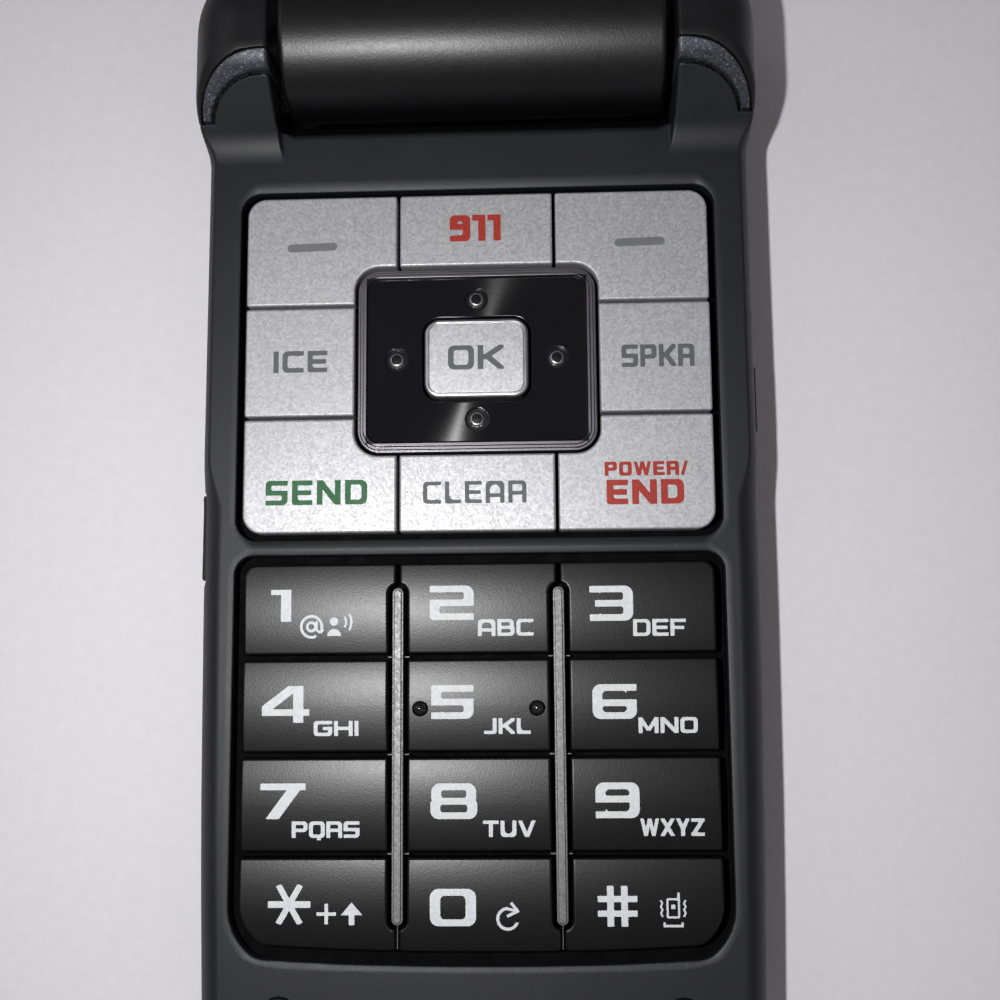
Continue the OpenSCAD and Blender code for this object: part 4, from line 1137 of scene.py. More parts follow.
def display_lens(name):
    """Black glossy pane over a sleeping display."""
    m = Mat(name).set(spec=0.5, coat=1.0, coat_rough=0.03)
    smear = m.noise(60, 5, 0.7, (1.0, 2.2, 1.0))
    m.color(m.ramp(smear, [(0.35, (0.006, 0.007, 0.009)), (0.65, (0.009, 0.010, 0.013))]))
    m.rough(smear, 0.05, 0.20, 0.4, 0.7)
    m.bump(m.noise(30, 2), 0.01, 0.0001)
    return m.m

M_BOARD, M_WRAP = board_material(), wrap_material()
M_GLOSS = gloss_black("nav_gloss")
M_LENS = display_lens("lens_black")
M_DISPLAY = plain("display_module", (0.03, 0.035, 0.04), 0.2, spec=0.5)


def spun_material():
    """Black face turned on a lathe about the middle of the pad, with a dark chrome rim and a light grey metallic ring
    round each stud, painted as a highlight on its polished edge.
    """
    m = Mat("nav_spun").set(spec=0.5)
    mp = m.node("ShaderNodeMapping")
    mp.inputs["Location"].default_value = (0.0, -0.0142, 0.0)
    mp.inputs["Scale"].default_value = (1, 1, 0)
    m.link(m.co, mp.inputs["Vector"])
    ln = m.node("ShaderNodeVectorMath", operation="LENGTH")
    m.link(mp.outputs["Vector"], ln.inputs[0])
    radius = ln.outputs["Value"]
    nz = m.node("ShaderNodeVectorMath", operation="NORMALIZE")
    m.link(mp.outputs["Vector"], nz.inputs[0])
    m.link(nz.outputs["Vector"], m.p.inputs["Tangent"])
    n1 = m.node("ShaderNodeTexNoise", noise_dimensions="1D")
    n1.inputs["Scale"].default_value = 9000
    n1.inputs["Detail"].default_value = 4
    m.link(radius, n1.inputs["W"])
    parts = m.node("ShaderNodeSeparateXYZ")
    m.link(mp.outputs["Vector"], parts.inputs[0])
    where = m.node("ShaderNodeSeparateXYZ")
    m.link(m.co, where.inputs[0])
    dx = m.math("SUBTRACT", m.math("ABSOLUTE", parts.outputs[0], 0.0), 0.00982)
    dy = m.math("SUBTRACT", m.math("ABSOLUTE", parts.outputs[1], 0.0), 0.00753)
    rim = m.math("GREATER_THAN", m.math("MAXIMUM", dx, dy), 0.0)
    raised = m.math("GREATER_THAN", where.outputs[2], 0.00926)
    low = m.math("LESS_THAN", where.outputs[2], 0.00918)
    face = m.math("SUBTRACT", 1.0, m.math("MAXIMUM", m.math("MAXIMUM", rim, raised), low))
    black = m.ramp(n1.outputs["Fac"], [(0.3, (0.0032, 0.0032, 0.0040)), (0.7, (0.0050, 0.0050, 0.0060))])
    ax, ay = m.math("ABSOLUTE", parts.outputs[0], 0.0), m.math("ABSOLUTE", parts.outputs[1], 0.0)
    def from_point(u, v, cu, cv):
        du, dv = m.math("SUBTRACT", u, cu), m.math("SUBTRACT", v, cv)
        return m.math("SQRT", m.math("ADD", m.math("MULTIPLY", du, du), m.math("MULTIPLY", dv, dv)), 0.0)
    stud = m.math("MINIMUM", from_point(ax, parts.outputs[1], 0.0071, 0.0), from_point(parts.outputs[0], ay, 0.0, 0.00542))
    # painted highlight: a light grey metallic ring on the rounded edge of each stud
    edge = m.math("MULTIPLY", m.math("LESS_THAN", stud, 0.00067), m.math("GREATER_THAN", stud, 0.00047))
    m.color(m.mix(edge, m.mix(rim, black, (0.19, 0.185, 0.20)), (0.42, 0.42, 0.43)))
    m.link(m.math("MULTIPLY", m.math("MAXIMUM", rim, edge), 0.9), m.p.inputs["Metallic"])
    m.link(m.math("MULTIPLY", face, 0.98), m.p.inputs["Anisotropic"])
    wear = m.noise(500, 3, 0.6)
    r_face = m.math("ADD", 0.15, m.math("MULTIPLY", n1.outputs["Fac"], 0.05))
    r_rim = m.math("ADD", 0.30, m.math("MULTIPLY", wear, 0.12))
    r_stud = 0.24
    r = m.math("ADD", m.math("MULTIPLY", face, r_face), m.math("MULTIPLY", rim, r_rim))
    other = m.math("SUBTRACT", m.math("SUBTRACT", 1.0, face), rim, True)
    r = m.math("ADD", r, m.math("MULTIPLY", other, r_stud))
    m.link(r, m.p.inputs["Roughness"])
    return m.m

M_SPUN = spun_material()


def chrome(name, base=(0.62, 0.62, 0.63), rough=0.16):
    m = Mat(name).set(metal=1.0)
    n = m.noise(700, 4, 0.6)
    m.color(m.ramp(n, [(0.3, tuple(c * 0.93 for c in base)), (0.7, base)]))
    m.rough(m.noise(1500, 3), rough, rough + 0.12, 0.3, 0.7)
    m.bump(m.noise(4000, 2), 0.05, 0.00001)
    return m.m

M_CHROME = chrome("ok_chrome", (0.60, 0.60, 0.61), 0.30)
M_OKFACE = silver_paint("ok_silver", (0.54, 0.54, 0.55), 0.42, 0.54)


def trim_material():
    "Dark grey metallic paint with a strong sparkle."
    m = Mat("trim_metallic").set(metal=0.7, spec=0.5)
    fl = m.voronoi(7600)
    sep = m.node("ShaderNodeSeparateColor")
    m.link(fl.outputs["Color"], sep.inputs[0])
    m.color(m.ramp(sep.outputs[0], [(0.0, (0.045, 0.046, 0.056)), (0.6, (0.070, 0.072, 0.086)), (0.92, (0.11, 0.113, 0.13)), (1.0, (0.24, 0.245, 0.27))]))
    m.rough(sep.outputs[1], 0.42, 0.54)
    m.bump(sep.outputs[2], 0.18, 0.00002)
    return m.m

M_TRIM = trim_material()


def barrel_material():
    "Satin black of the lid, with a fine sparkle where light catches it."
    m = Mat("lid_satin").set(spec=0.60)
    cloud = m.noise(140, 4, 0.6)
    m.color(m.ramp(cloud, [(0.3, (0.0022, 0.0022, 0.0028)), (0.7, (0.0036, 0.0036, 0.0044))]))
    m.rough(m.noise(1300, 5, 0.8), 0.36, 0.40, 0.35, 0.65)
    m.bump(m.noise(5200, 2, 0.7), 0.55, 0.00002)
    m.bump(m.noise(2400, 3, 0.7), 0.14, 0.00003)
    return m.m

M_LID = barrel_material()

M_INK_WHITE = ink("ink_white", (0.68, 0.69, 0.71))
M_INK_GREY = ink("ink_grey", (0.105, 0.110, 0.118))
M_INK_GREY2 = ink("ink_dash", (0.155, 0.165, 0.172))
M_INK_RED = ink("ink_red", (0.36, 0.028, 0.016))
M_INK_GREEN = ink("ink_green", (0.020, 0.125, 0.040))


# ------------------------------------------------------------------ making the base
F = dict
xs_base = lambda: lines(-25.3, 25.3, 0.9, (-25.3, -22.2, 0.13), (-22.2, -18.0, 0.17), (-18.0, -15.9, 0.13), (15.9, 18.0, 0.13), (18.0, 22.2, 0.17), (22.2, 25.3, 0.13), (-0.8, 0.8, 0.12))
ys_front = lines(-47.5, 40.7, 0.9, (-47.5, -46.0, 0.13), (-46.0, -44.3, 0.25), (-44.3, -40.0, 0.13), (-40.0, -35.5, 0.17), (-4.9, -1.0, 0.09), (-1.0, 5.0, 0.3), (11, 12, 0.2), (27.6, 29.6, 0.17), (29.6, 31.0, 0.09), (31.0, 40.7, 0.16))
zs_front = lines(5.0, 16.1, 0.3, (5.0, 5.8, 0.08), (7.5, 8.3, 0.12), (8.3, 9.6, 0.075), (9.6, 16.1, 0.16))
shape("front_housing_skin", front_housing, xs_base(), ys_front, zs_front, M_DECK, "base", ["front_housing"])

xs_back = lines(-25.3, 25.3, 0.7, (-25.3, -19.8, 0.16), (-18.3, -16.2, 0.2), (16.2, 18.3, 0.2), (19.8, 25.3, 0.16), (-16.2, -9.6, 0.2), (-4.8, 4.8, 0.35))
ys_back = lines(-47.5, 51.3, 0.9, (-47.5, -40.5, 0.16), (11.6, 12.7, 0.12), (13.6, 23.6, 0.16), (31.6, 35.2, 0.2), (35.2, 51.3, 0.17))
zs_back = lines(-0.4, 16.1, 0.3, (-0.4, 2.4, 0.14), (4.9, 5.6, 0.08), (5.6, 16.1, 0.22))
shape("back_housing_shell", back_housing, xs_back, ys_back, zs_back, M_SHELL, "base", ["back_housing"])

for side, sx in (("left", -1), ("right", 1)):
    g = (lambda s: lambda x, y, z: trim(x * s, y, z))(sx)
    f = (lambda s, g: lambda x, y, z: np.maximum(g(x, y, z), 10 - x * s))(sx, g)
    x0, x1 = (16.9, 25.2) if sx > 0 else (-25.2, -16.9)
    shape("hinge_trim_%s_band" % side, f, lines(x0, x1, 0.08), lines(35.9, 41.4, 0.08), lines(9.2, 15.8, 0.09), M_TRIM, "base", ["hinge_trim_" + side])

shape("battery_cover_panel", battery_cover, lines(-22.0, 22.0, 0.8, (-22.0, -20.3, 0.12), (20.3, 22.0, 0.12), (-6.5, 6.5, 0.3)),
      lines(-47.4, 12.3, 0.8, (-47.4, -35.0, 0.12), (11.2, 12.3, 0.1)), lines(-0.3, 1.2, 0.08), M_SHELL, "battery_cover", ["battery_cover"])

# ------------------------------------------------------------------ making the lid
xs_lid = lambda: lines(-25.2, 25.2, 0.8, (-25.2, -21.0, 0.16), (-21.0, -18.6, 0.2), (-18.6, -16.2, 0.14), (16.2, 18.6, 0.14), (18.6, 21.0, 0.2), (21.0, 25.2, 0.16), (-5.2, 5.2, 0.3))
ys_lid = lines(-47.5, 51.2, 0.9, (-47.5, -39.8, 0.16), (-38.0, -35.0, 0.2), (17.0, 19.0, 0.2), (24.0, 31.4, 0.17), (31.4, 37.0, 0.3), (37.0, 51.2, 0.17))
zs_lid_in = lines(1.6, 15.9, 0.22, (9.8, 11.3, 0.12), (13.3, 13.8, 0.07))
shape("lid_inner_shell", lid_inner, xs_lid(), ys_lid, zs_lid_in, M_LID, "lid", ["lid_inner_housing"], lid=True)
ys_lid_out = lines(-47.5, 44.3, 0.9, (-47.5, -39.8, 0.17), (-32.0, -20.0, 0.16), (-13.0, -11.0, 0.12), (11.0, 13.0, 0.12), (24.0, 31.4, 0.17), (31.4, 44.3, 0.22))
xs_lid_out = lines(-25.2, 25.2, 0.8, (-25.2, -18.6, 0.18), (-18.6, -16.4, 0.14), (-15.4, -13.0, 0.14), (-6.2, 6.2, 0.16), (13.0, 15.4, 0.14), (16.4, 18.6, 0.14), (18.6, 25.2, 0.18))
shape("lid_outer_shell", lid_outer, xs_lid_out, ys_lid_out, lines(13.2, 18.0, 0.17, (13.3, 13.9, 0.07)), M_LID, "lid", ["lid_outer_housing"], lid=True)
shape("main_lens_pane", lens(19.8, 27.0, -9.0, LID_IN + 0.05, LID_IN + 0.93, False), lines(-20.1, 20.1, 0.9, (-20.1, -17.5, 0.09), (17.5, 20.1, 0.09)),
      lines(-36.3, 18.3, 0.9, (-36.3, -33.7, 0.09), (15.7, 18.3, 0.09)), lines(9.9, 11.2, 0.07), M_LENS, "lid", ["main_lens"], lid=True)
shape("outer_lens_pane", lens(14.45, 11.95, 0, LID_OUT - 0.82, LID_OUT - 0.05, True), lines(-14.8, 14.8, 0.9, (-14.8, -12.2, 0.09), (12.2, 14.8, 0.09)),
      lines(-12.3, 12.3, 0.9, (-12.3, -9.7, 0.09), (9.7, 12.3, 0.09)), lines(16.5, 17.7, 0.07), M_LENS, "lid", ["outer_lens"], lid=True)
shape("earpiece_capsule", receiver, lines(-6.3, 6.3, 0.1), lines(-44.3, -37.9, 0.1, (-42.0, -39.8, 0.08)), lines(11.0, 13.7, 0.15), M_SPEAKER, "lid", ["earpiece"], lid=True)
shape("camera_barrel", camera_barrel, lines(-4.7, 4.7, 0.09), lines(-30.7, -21.3, 0.09), lines(13.4, 17.6, 0.2, (16.2, 17.6, 0.07)), M_SPEAKER, "lid", ["camera_module"], lid=True)
shape("camera_glass", camera_glass, lines(-1.2, 1.2, 0.06), lines(-27.2, -24.8, 0.06), lines(16.3, 17.1, 0.06), M_LENS, "lid", lid=True)

# ------------------------------------------------------------------ making the keys
SILVERS = {
    "soft_key_right": ("soft", 1, (13.85, 24.6), (6.8, 20.95, 19.0, 29.65)),
    "soft_key_left": ("soft", -1, (13.85, 24.6), (-20.95, -6.8, 19.0, 29.65)),
    "emergency_key": ("top", 1, (0, 26.1), (-7.1, 7.1, 22.4, 29.65)),
    "speaker_key": ("side", 1, (15.8, NAV_Y), (10.5, 20.95, 8.9, 19.4)),
    "contact_key": ("side", -1, (15.8, NAV_Y), (-20.95, -10.5, 8.9, 19.4)),
    "end_key": ("call", 1, (13.85, 3.4), (6.8, 20.95, -1.5, 9.3)),
    "send_key": ("call", -1, (13.85, 3.4), (-20.95, -6.8, -1.5, 9.3)),
    "clear_key": ("low", 1, (0, 2.2), (-7.1, 7.1, -1.5, 6.0)),
}
ZS_KEY = lines(6.6, 9.8, 0.2, (6.6, 7.1, 0.12), (7.45, 7.85, 0.09), (9.0, 9.75, 0.06))
for name, (kind, sign, spot, (x0, x1, y0, y1)) in SILVERS.items():
    def edges(a, b, stops):
        feats = [(a, a + 1.0, 0.075), (b - 1.0, b, 0.075)] + list(stops)
        return lines(a, b, 0.5, *feats)
    px, py = spot[0] * sign, spot[1]
    xst = [(px - 1.3, px + 1.3, 0.2)]
    yst = [(py - 1.3, py + 1.3, 0.2)]
    if kind in ("soft", "call"):
        xst += [(8.3, 11.3, 0.09)] if sign > 0 else [(-11.3, -8.3, 0.09)]
        xst += [(18.7, 20.95, 0.1)] if sign > 0 else [(-20.95, -18.7, 0.1)]
        yst += [(20.2, 23.1, 0.09), (27.4, 29.65, 0.1)] if kind == "soft" else [(5.3, 8.2, 0.09), (-1.5, 0.8, 0.1)]
    shape(name + "_cap", silver_key(kind, sign, spot), edges(x0, x1, xst), edges(y0, y1, yst), ZS_KEY, M_SILVER, name, [name])

NUMBERS = {"key_1": (-1, 0), "key_2": (0, 0), "key_3": (1, 0), "key_4": (-1, 1), "key_5": (0, 1), "key_6": (1, 1),
           "key_7": (-1, 2), "key_8": (0, 2), "key_9": (1, 2), "key_star": (-1, 3), "key_0": (0, 3), "key_hash": (1, 3)}
ZS_NUM = lines(6.6, 9.95, 0.2, (6.6, 7.1, 0.12), (7.45, 7.85, 0.09), (8.75, 9.9, 0.065))
for name, (c, r) in NUMBERS.items():
    x0 = (-20.6, -7.1, 6.8)[c + 1]
    x1 = (-6.8, 7.1, 20.6)[c + 1]
    y1 = NUM_Y1 - r * PITCH + 0.3
    y0 = y1 - ROW_H - 0.6
    cx, cy = c * 13.85, NUM_Y1 - r * PITCH - ROW_H / 2
    xf = [(x0, x0 + 1.9 if c > -1 else x0 + 1.0, 0.08), (x1 - (1.9 if c < 1 else 1.0), x1, 0.08), (cx - 1.3, cx + 1.3, 0.22)]
    yf = [(y0, y0 + 0.9, 0.08), (y1 - 0.9, y1, 0.08), (cy - 1.3, cy + 1.3, 0.22)]
    if r == 0:
        yf.append((y1 - 3.0, y1, 0.1))
    if r == 3:
        yf.append((y0, y0 + 2.9, 0.1))
        if c: xf.append((x0, x0 + 4.5, 0.11) if c < 0 else (x1 - 4.5, x1, 0.11)); yf.append((y0, y0 + 4.8, 0.11))
    if (c, r) == (0, 1):
        xf += [(-5.9, -4.1, 0.06), (4.1, 5.9, 0.06)]; yf.append((-17.2, -15.5, 0.06))
    shape(name + "_cap", number_key(c, r), lines(x0, x1, 0.5, *xf), lines(y0, y1, 0.4, *yf), ZS_NUM, M_BLACKKEY, name, [name])
for side, dx in (("left", -5.0), ("right", 5.02)):
    shape("key_5_dot_" + side, dots_five, np.arange(dx - 0.64, dx + 0.65, 0.08), np.arange(-16.99, -15.70, 0.08), np.arange(NUMBER_Z - 0.61, NUMBER_Z + 0.52, 0.08), M_GLOSS, "key_5")

shape("divider_bars_pair", bars, lines(-8.5, 8.5, 0.7, (-8.5, -5.4, 0.055), (5.4, 8.5, 0.055)),
      lines(-36.6, -5.6, 0.5, (-36.6, -33.4, 0.07), (-12.4, -11.5, 0.05), (-20.7, -19.8, 0.05), (-29.0, -28.1, 0.05), (-7.0, -5.6, 0.07)),
      lines(6.9, 9.5, 0.25, (8.6, 9.45, 0.05)), M_BAR, "base", ["divider_bars"])

shape("nav_ring_body", nav_ring, lines(-10.9, 10.9, 0.3, (-10.9, -8.4, 0.07), (8.4, 10.9, 0.07), (-8.4, -5.8, 0.1), (5.8, 8.4, 0.1), (-5.3, -3.4, 0.1), (3.4, 5.3, 0.1), (-1.3, 1.3, 0.08)),
      lines(5.6, 22.8, 0.3, (5.6, 8.0, 0.07), (20.4, 22.8, 0.07), (8.0, 11.8, 0.1), (16.6, 20.7, 0.1), (12.9, 15.5, 0.1)),
      lines(6.6, 9.75, 0.2, (8.0, 8.5, 0.08), (8.9, 9.7, 0.05)), M_SPUN, "nav_ring", ["nav_ring"])
shape("nav_collar_plate", nav_collar, lines(-9.9, 9.9, 0.12), lines(6.7, 21.7, 0.12), lines(6.6, 8.3, 0.09), M_FRAME_GREY, "nav_collar", ["nav_collar"])
shape("ok_key_frame", ok_frame, lines(-4.9, 4.9, 0.3, (-4.9, -3.2, 0.055), (3.2, 4.9, 0.055), (-1.3, 1.3, 0.2)),
      lines(10.3, 18.1, 0.3, (10.3, 12.1, 0.055), (16.3, 18.1, 0.055), (12.9, 15.5, 0.2)), lines(6.6, 10.0, 0.2, (7.8, 8.3, 0.1), (9.2, 9.95, 0.05)), M_CHROME, "ok_key", ["ok_key"])
shape("ok_key_face", ok_face, lines(-4.5, 4.5, 0.3, (-4.5, -3.1, 0.06), (3.1, 4.5, 0.06)), lines(10.7, 17.7, 0.3, (10.7, 12.1, 0.06), (16.3, 17.7, 0.06)),
      lines(9.2, 9.95, 0.05), M_OKFACE, "ok_key")

shape("volume_key_cap", side_button(-5.2, 2.7, -1, 6.5), lines(-25.2, -22.8, 0.08), lines(-6.2, 3.7, 0.1), lines(5.4, 8.2, 0.08), M_SIDE, "volume_key", ["volume_key"])
shape("side_key_cap", side_button(7.4, 13.7, 1, 7.9), lines(22.8, 25.2, 0.08), lines(6.4, 14.7, 0.1), lines(5.4, 8.2, 0.08), M_SIDE, "side_key", ["side_key"])
for k, sx in enumerate((-16.85, 16.85)):
    shape("deck_bumper_%d" % (k + 1), bumpers, lines(sx - 1.7, sx + 1.7, 0.08), lines(-43.3, -39.9, 0.08), lines(8.4, 10.2, 0.07), M_RUBBER, "base", ["deck_bumpers"] if k == 0 else ())
for k, (px, py, z0, z1) in enumerate(((-21, 33.4, 0.15, 8.2), (21, 33.4, 0.15, 8.2), (-19.2, -42.4, 1.12, 8.2), (19.2, -42.4, 1.12, 8.2))):
    shape("housing_screw_%d" % (k + 1), frame_screw(px, py, z0, z1), lines(px - 1.6, px + 1.6, 0.09), lines(py - 1.6, py + 1.6, 0.09), lines(z0 - 0.3, z1 + 0.3, 0.11),
          M_SCREW, "base", ["housing_screws"] if k == 0 else ())
k = 0
for px, py in LID_SCREWS:
    for s in (-1, 1):
        k += 1
        shape("lid_screw_%d" % k, frame_screw(s * px, py, LID_IN + 0.1, LID_IN + 5.5), lines(s * px - 1.6, s * px + 1.6, 0.09), lines(py - 1.6, py + 1.6, 0.09),
              lines(LID_IN - 0.2, LID_IN + 5.8, 0.11), M_SCREW, "lid", ["lid_screws"] if k == 1 else (), lid=True)

# ------------------------------------------------------------------ legends
def top_of(key):
    if key == "ok_key":
        return lambda x, y: OK_Z - 0.03 - 0.04 * ((y - NAV_Y) / 3.2) ** 2
    if key in NUMBERS:
        c, r = NUMBERS[key]
        return lambda x, y: number_top(c, r, x, y)
    return silver_top

def put(name, key, f, box, mat, step=0.055):
    legend(name, f, box, mat, key, top_of(key), step)

def put_word(name, key, text, x0, x1, y0, y1, tv, th, gap, mat):
    put(name, key, word(text, x0, x1, y0, y1, tv, th, gap), (x0, x1, y0 - (0.3 if "Q" in text else 0), y1), mat)

for key, x0, x1, y0, y1, tilt in (("soft_key_left", -17.02, -12.46, 24.22, 25.18, 0.05), ("soft_key_right", 12.36, 16.87, 24.12, 25.08, 0.05)):
    yc = (y0 + y1) / 2
    put("legend_" + key, key, (lambda a, b, c: lambda X, Y: capsule2(X, Y, a, c - 0.05, b, c + 0.05, 0.37))(x0 + 0.4, x1 - 0.4, yc), (x0 - 0.1, x1 + 0.1, y0 - 0.1, y1 + 0.1), M_INK_GREY2)
put_word("legend_emergency", "emergency_key", "911", -2.34, 2.24, 24.98, 27.42, 0.66, 0.54, 0.17, M_INK_RED)
put_word("legend_contact", "contact_key", "ICE", -18.1, -13.28, 13.2, 15.16, 0.46, 0.42, 0.34, M_INK_GREY)
put_word("legend_ok", "ok_key", "OK", -2.50, 2.42, 13.16, 15.34, 0.50, 0.42, 0.32, M_INK_GREY)
put_word("legend_speaker", "speaker_key", "SPKR", 12.80, 19.18, 13.18, 15.2, 0.42, 0.38, 0.20, M_INK_GREY)
put_word("legend_send", "send_key", "SEND", -18.62, -9.64, 1.32, 3.50, 0.51, 0.43, 0.38, M_INK_GREEN)
put_word("legend_clear", "clear_key", "CLEAR", -4.74, 4.30, 1.29, 3.24, 0.37, 0.33, 0.34, M_INK_GREY)
put_word("legend_power", "end_key", "POWER/", 11.12, 18.32, 3.52, 4.77, 0.34, 0.28, 0.18, M_INK_RED)
put_word("legend_end", "end_key", "END", 11.26, 17.96, 1.02, 3.18, 0.60, 0.50, 0.34, M_INK_RED)

DIGITS = {"key_2": ("2", -4.17, -0.36, -8.82, -5.87), "key_3": ("3", 9.62, 13.34, -9.02, -6.02), "key_4": ("4", -18.64, -14.54, -17.48, -14.36),
          "key_5": ("5", -4.04, -0.42, -17.24, -14.38), "key_6": ("6", 9.72, 13.47, -17.32, -14.40), "key_7": ("7", -18.66, -14.78, -25.54, -22.57),
          "key_8": ("8", -4.12, -0.15, -25.58, -22.62), "key_9": ("9", 9.83, 13.53, -25.54, -22.60), "key_0": ("0", -4.17, -0.29, -34.32, -31.28)}
for key, (ch, x0, x1, y0, y1) in DIGITS.items():
    tv, th = {"4": (0.88, 0.56), "7": (1.0, 0.56), "0": (0.88, 0.56)}.get(ch, (0.84, 0.56))
    put("legend_digit_" + ch, key, (lambda ch, x0, x1, y0, y1, tv, th: lambda X, Y: glyph(ch, X - x0, Y - y0, x1 - x0, y1 - y0, tv, th))(ch, x0, x1, y0, y1, tv, th), (x0, x1, y0, y1), M_INK_WHITE)
put("legend_digit_1", "key_1", lambda X, Y: glyph("1", X + 18.0, Y + 8.84, 1.78, 2.76, 0.90, 0.44), (-18.0, -16.2, -8.84, -6.06), M_INK_WHITE)
LETTERS = {"key_2": ("ABC", -0.02, 4.78, -10.22, -8.78), "key_3": ("DEF", 13.30, 17.80, -10.34, -8.90), "key_4": ("GHI", -14.16, -10.30, -18.62, -17.34),
           "key_5": ("JKL", 0.46, 4.44, -18.53, -17.20), "key_6": ("MNO", 13.58, 18.58, -18.53, -17.20), "key_7": ("PQRS", -15.94, -10.15, -27.12, -25.74),
           "key_8": ("TUV", 0.33, 4.76, -27.08, -25.71), "key_9": ("WXYZ", 13.56, 18.92, -27.03, -25.58)}
for key, (text, x0, x1, y0, y1) in LETTERS.items():
    put_word("legend_letters_" + text, key, text, x0, x1, y0, y1, 0.34, 0.28, 0.16 if len(text) == 3 else 0.12, M_INK_WHITE)

def at_sign(X, Y):
    u, v = X + 14.44, Y + 9.30
    r = length2(u, v)
    ring = np.abs(r - 0.90) - 0.115
    ring = np.maximum(ring, -box2(u, v, 0.42, 1.3, -0.92, -0.42))
    a = np.abs(length2(u + 0.02, v) - 0.36) - 0.11
    tail = np.maximum(span(u, 0.34, 0.54), span(v, -0.36, 0.48))
    hook = np.maximum(np.abs(length2(u - 0.74, v + 0.22) - 0.25) - 0.09, v + 0.22)
    return np.minimum.reduce([ring, a, tail, hook])

def person(X, Y):
    u, v = X + 12.48, Y + 10.10
    head = length2(u, v - 1.24) - 0.36
    body = np.maximum(length2(u, v * 1.0) - 0.60, -v)
    body = np.maximum(body, v - 0.62)
    return np.minimum(head, body)

def waves(X, Y):
    u, v = X + 12.30, Y + 8.92
    r = length2(u, v)
    ang = np.abs(v) - 0.62 * u
    return np.maximum(np.minimum(np.abs(r - 0.86) - 0.085, np.abs(r - 1.33) - 0.095), ang * 0.85)

put("legend_mail", "key_1", at_sign, (-15.5, -13.3, -10.4, -8.2), M_INK_WHITE, 0.05)
put("legend_person", "key_1", both(person, waves), (-13.2, -10.7, -10.2, -8.2), M_INK_WHITE, 0.05)

def star(X, Y):
    u, v = X + 16.04, Y + 32.55
    f = seg(u, v, -1.80, 0, 1.80, 0, 0.54)
    f = np.minimum(f, seg(u, v, -0.93, -1.60, 0.93, 1.60, 0.50))
    f = np.minimum(f, seg(u, v, -0.93, 1.60, 0.93, -1.60, 0.50))
    return np.maximum(f, np.abs(v) - 1.62)

def plus(X, Y):
    u, v = X + 12.90, Y + 33.33
    return np.minimum(box2(u, v, -0.83, 0.83, -0.14, 0.14), box2(u, v, -0.15, 0.15, -0.85, 0.85))

def up_arrow(X, Y):
    u, v = X + 10.76, Y + 34.24
    stem = box2(u, v, -0.24, 0.24, 0, 1.0)
    head = np.maximum(0.76 - v + 0.06, (v - 1.86) * 0.66 + np.abs(u) * 0.75)
    return np.minimum(stem, head)

put("legend_star", "key_star", star, (-17.9, -14.2, -34.3, -30.9), M_INK_WHITE)
put("legend_shift", "key_star", both(plus, up_arrow), (-13.8, -9.8, -34.4, -32.3), M_INK_WHITE, 0.05)

def redial(X, Y):
    u, v = X - 2.36, Y + 33.72
    r = length2(u, v)
    ring = np.abs(r - 0.84) - 0.125
    gap = np.maximum(-(u * 0.55 + v * 0.0) , -(v + 0.25 * u) + 0.0)
    open_part = np.maximum(u * -1.0 + 0.05, np.maximum(-(v + 0.30), v - 1.2))
    ring = np.maximum(ring, -open_part)
    line = seg(u, v, -0.1, 0.84, 0.86, 0.62, 0.22)
    a1 = seg(u, v, 0.30, 1.28, 0.86, 0.60, 0.24, 0.05)
    a2 = seg(u, v, 0.86, 0.64, -0.02, 0.22, 0.24, 0.05)
    return np.minimum.reduce([ring, line, a1, a2])

put("legend_redial", "key_0", redial, (1.3, 3.5, -34.8, -32.3), M_INK_WHITE, 0.05)

def hash_sign(X, Y):
    u, v = X - 11.51, Y + 32.70
    f = np.minimum(box2(u, v, -0.86, -0.30, -1.65, 1.65), box2(u, v, 0.30, 0.86, -1.65, 1.65))
    return np.minimum.reduce([f, box2(u, v, -1.65, 1.65, 0.34, 0.84), box2(u, v, -1.65, 1.65, -0.84, -0.34)])

def vibrate(X, Y):
    u, v = X - 16.12, Y + 32.86
    body = rrect(u, v, 0, 0, 0.56, 0.82, 0.16)
    body = np.maximum(body, -(body + 0.17))
    ant = box2(u, v, 0.36, 0.56, 0.6, 1.26)
    dot = box2(u, v, -0.17, 0.17, -0.06, 0.30)
    au = np.abs(u)
    wob = 0.055 * np.sin(v * 2 * math.pi / 0.52)
    wave = np.maximum(np.abs(au - 0.96 - wob) - 0.085, np.abs(v + 0.02) - 0.68)
    base = np.minimum(box2(u, v, -0.84, 0.84, -1.54, -1.34), np.maximum(box2(u, v, -0.84, 0.84, -1.54, -1.14), 0.66 - au))
    return np.minimum.reduce([body, ant, dot, wave, base])

put("legend_hash", "key_hash", hash_sign, (9.8, 13.2, -34.4, -31.0), M_INK_WHITE)
put("legend_vibrate", "key_hash", vibrate, (15.0, 17.3, -34.5, -31.4), M_INK_WHITE, 0.05)


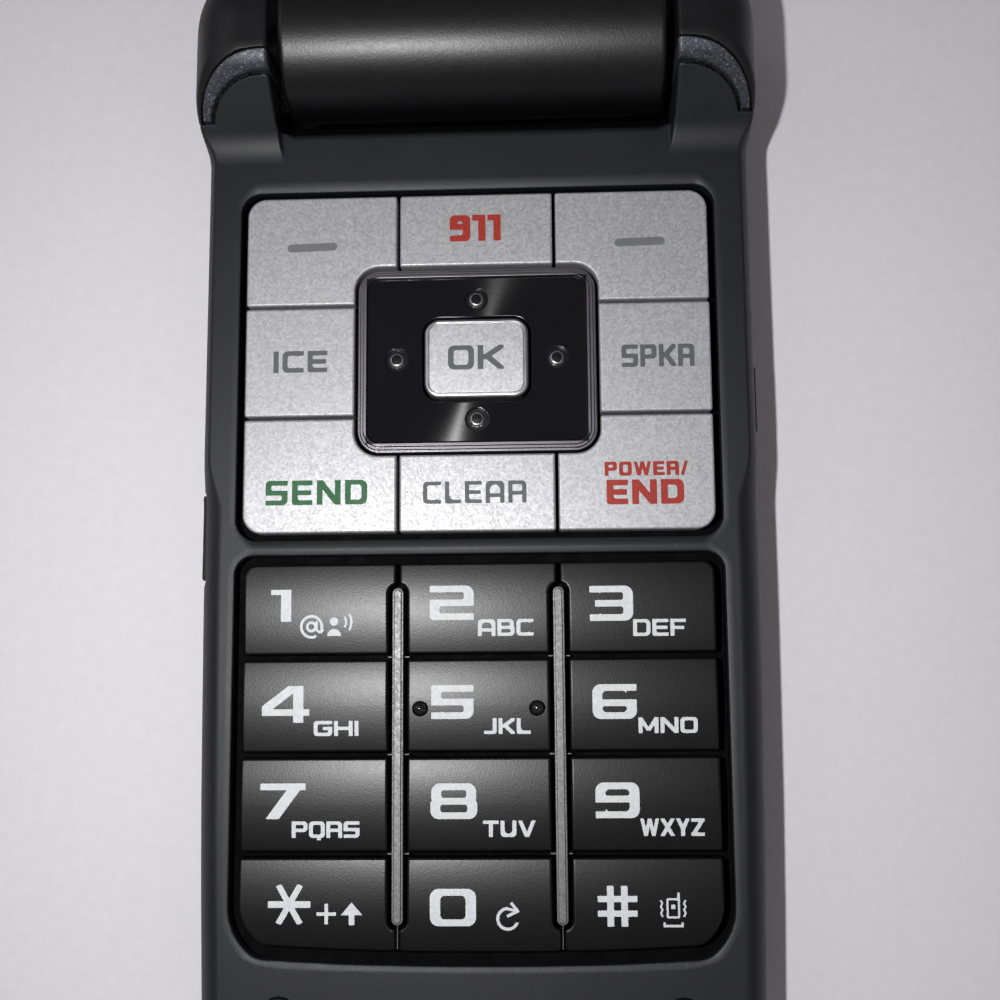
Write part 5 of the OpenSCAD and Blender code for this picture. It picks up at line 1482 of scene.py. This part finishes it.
# ------------------------------------------------------------------ carried-over CAD pieces
CARRIED = {"battery": M_WRAP, "battery_contacts": M_GOLD, "main_pcb": M_BOARD, "shield_can": M_TIN, "dome_sheet": M_TIN, "keypad_web": M_WEB_SHADED,
           "side_switches": M_GOLD, "charge_connector": M_TIN, "microphone": M_TIN, "loudspeaker": M_SPEAKER, "vibration_motor": M_STEEL,
           "antenna_carrier": M_CARRIER, "hinge_shaft": M_HINGE, "hinge_pin": M_HINGE, "main_display": M_DISPLAY, "outer_display": M_DISPLAY,
           "lid_pcb": M_BOARD, "lid_magnet": M_STEEL, "hinge_module": M_HINGE, "hinge_flex": M_AMBER}
for n, mat in CARRIED.items():
    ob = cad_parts[n]
    ob.data.materials.clear()
    ob.data.materials.append(mat)
left = [n for n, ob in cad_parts.items() if not ob.hide_render and n not in CARRIED]
if left:
    raise RuntimeError("no material for %s" % left)


# ------------------------------------------------------------------ floor and light
def floor():
    bm = bmesh.new()
    bmesh.ops.create_grid(bm, x_segments=8, y_segments=8, size=1.2)
    me = bpy.data.meshes.new("paper")
    bm.to_mesh(me); bm.free()
    ob = bpy.data.objects.new("paper", me)
    bpy.context.collection.objects.link(ob)
    m = Mat("paper").set(spec=0.2)
    n = m.noise(900, 4, 0.6)
    m.color(m.ramp(n, [(0.3, (0.80, 0.79, 0.83)), (0.7, (0.84, 0.83, 0.87))])).rough(n, 0.85, 0.95)
    m.bump(m.noise(2500, 3), 0.2, 0.00005)
    me.materials.append(m.m)

floor()

def area(name, loc, aim, size, power, color=(1, 1, 1)):
    d = bpy.data.lights.new(name, "AREA")
    d.shape = "DISK"; d.size = size; d.energy = power; d.color = color
    ob = bpy.data.objects.new(name, d)
    bpy.context.collection.objects.link(ob)
    ob.location = loc
    ob.rotation_euler = (Vector(aim) - Vector(loc)).to_track_quat("-Z", "Y").to_euler()
    return ob

area("key_light", (-0.0205, -0.009, 0.118), (0.0, 0.0, 0.009), 0.004, 0.11)
area("soft_left", (-0.55, 0.25, 0.55), (0, 0, 0), 0.5, 0.38)
area("soft_right", (0.5, -0.35, 0.6), (0, 0, 0), 0.5, 0.28)

world = bpy.data.worlds.new("studio")
bpy.context.scene.world = world
world.use_nodes = True
world.node_tree.nodes["Background"].inputs["Color"].default_value = (1.02, 0.96, 0.99, 1)
world.node_tree.nodes["Background"].inputs["Strength"].default_value = 0.12
bpy.context.scene.view_settings.view_transform = "Standard"
bpy.context.scene.view_settings.look = "None"
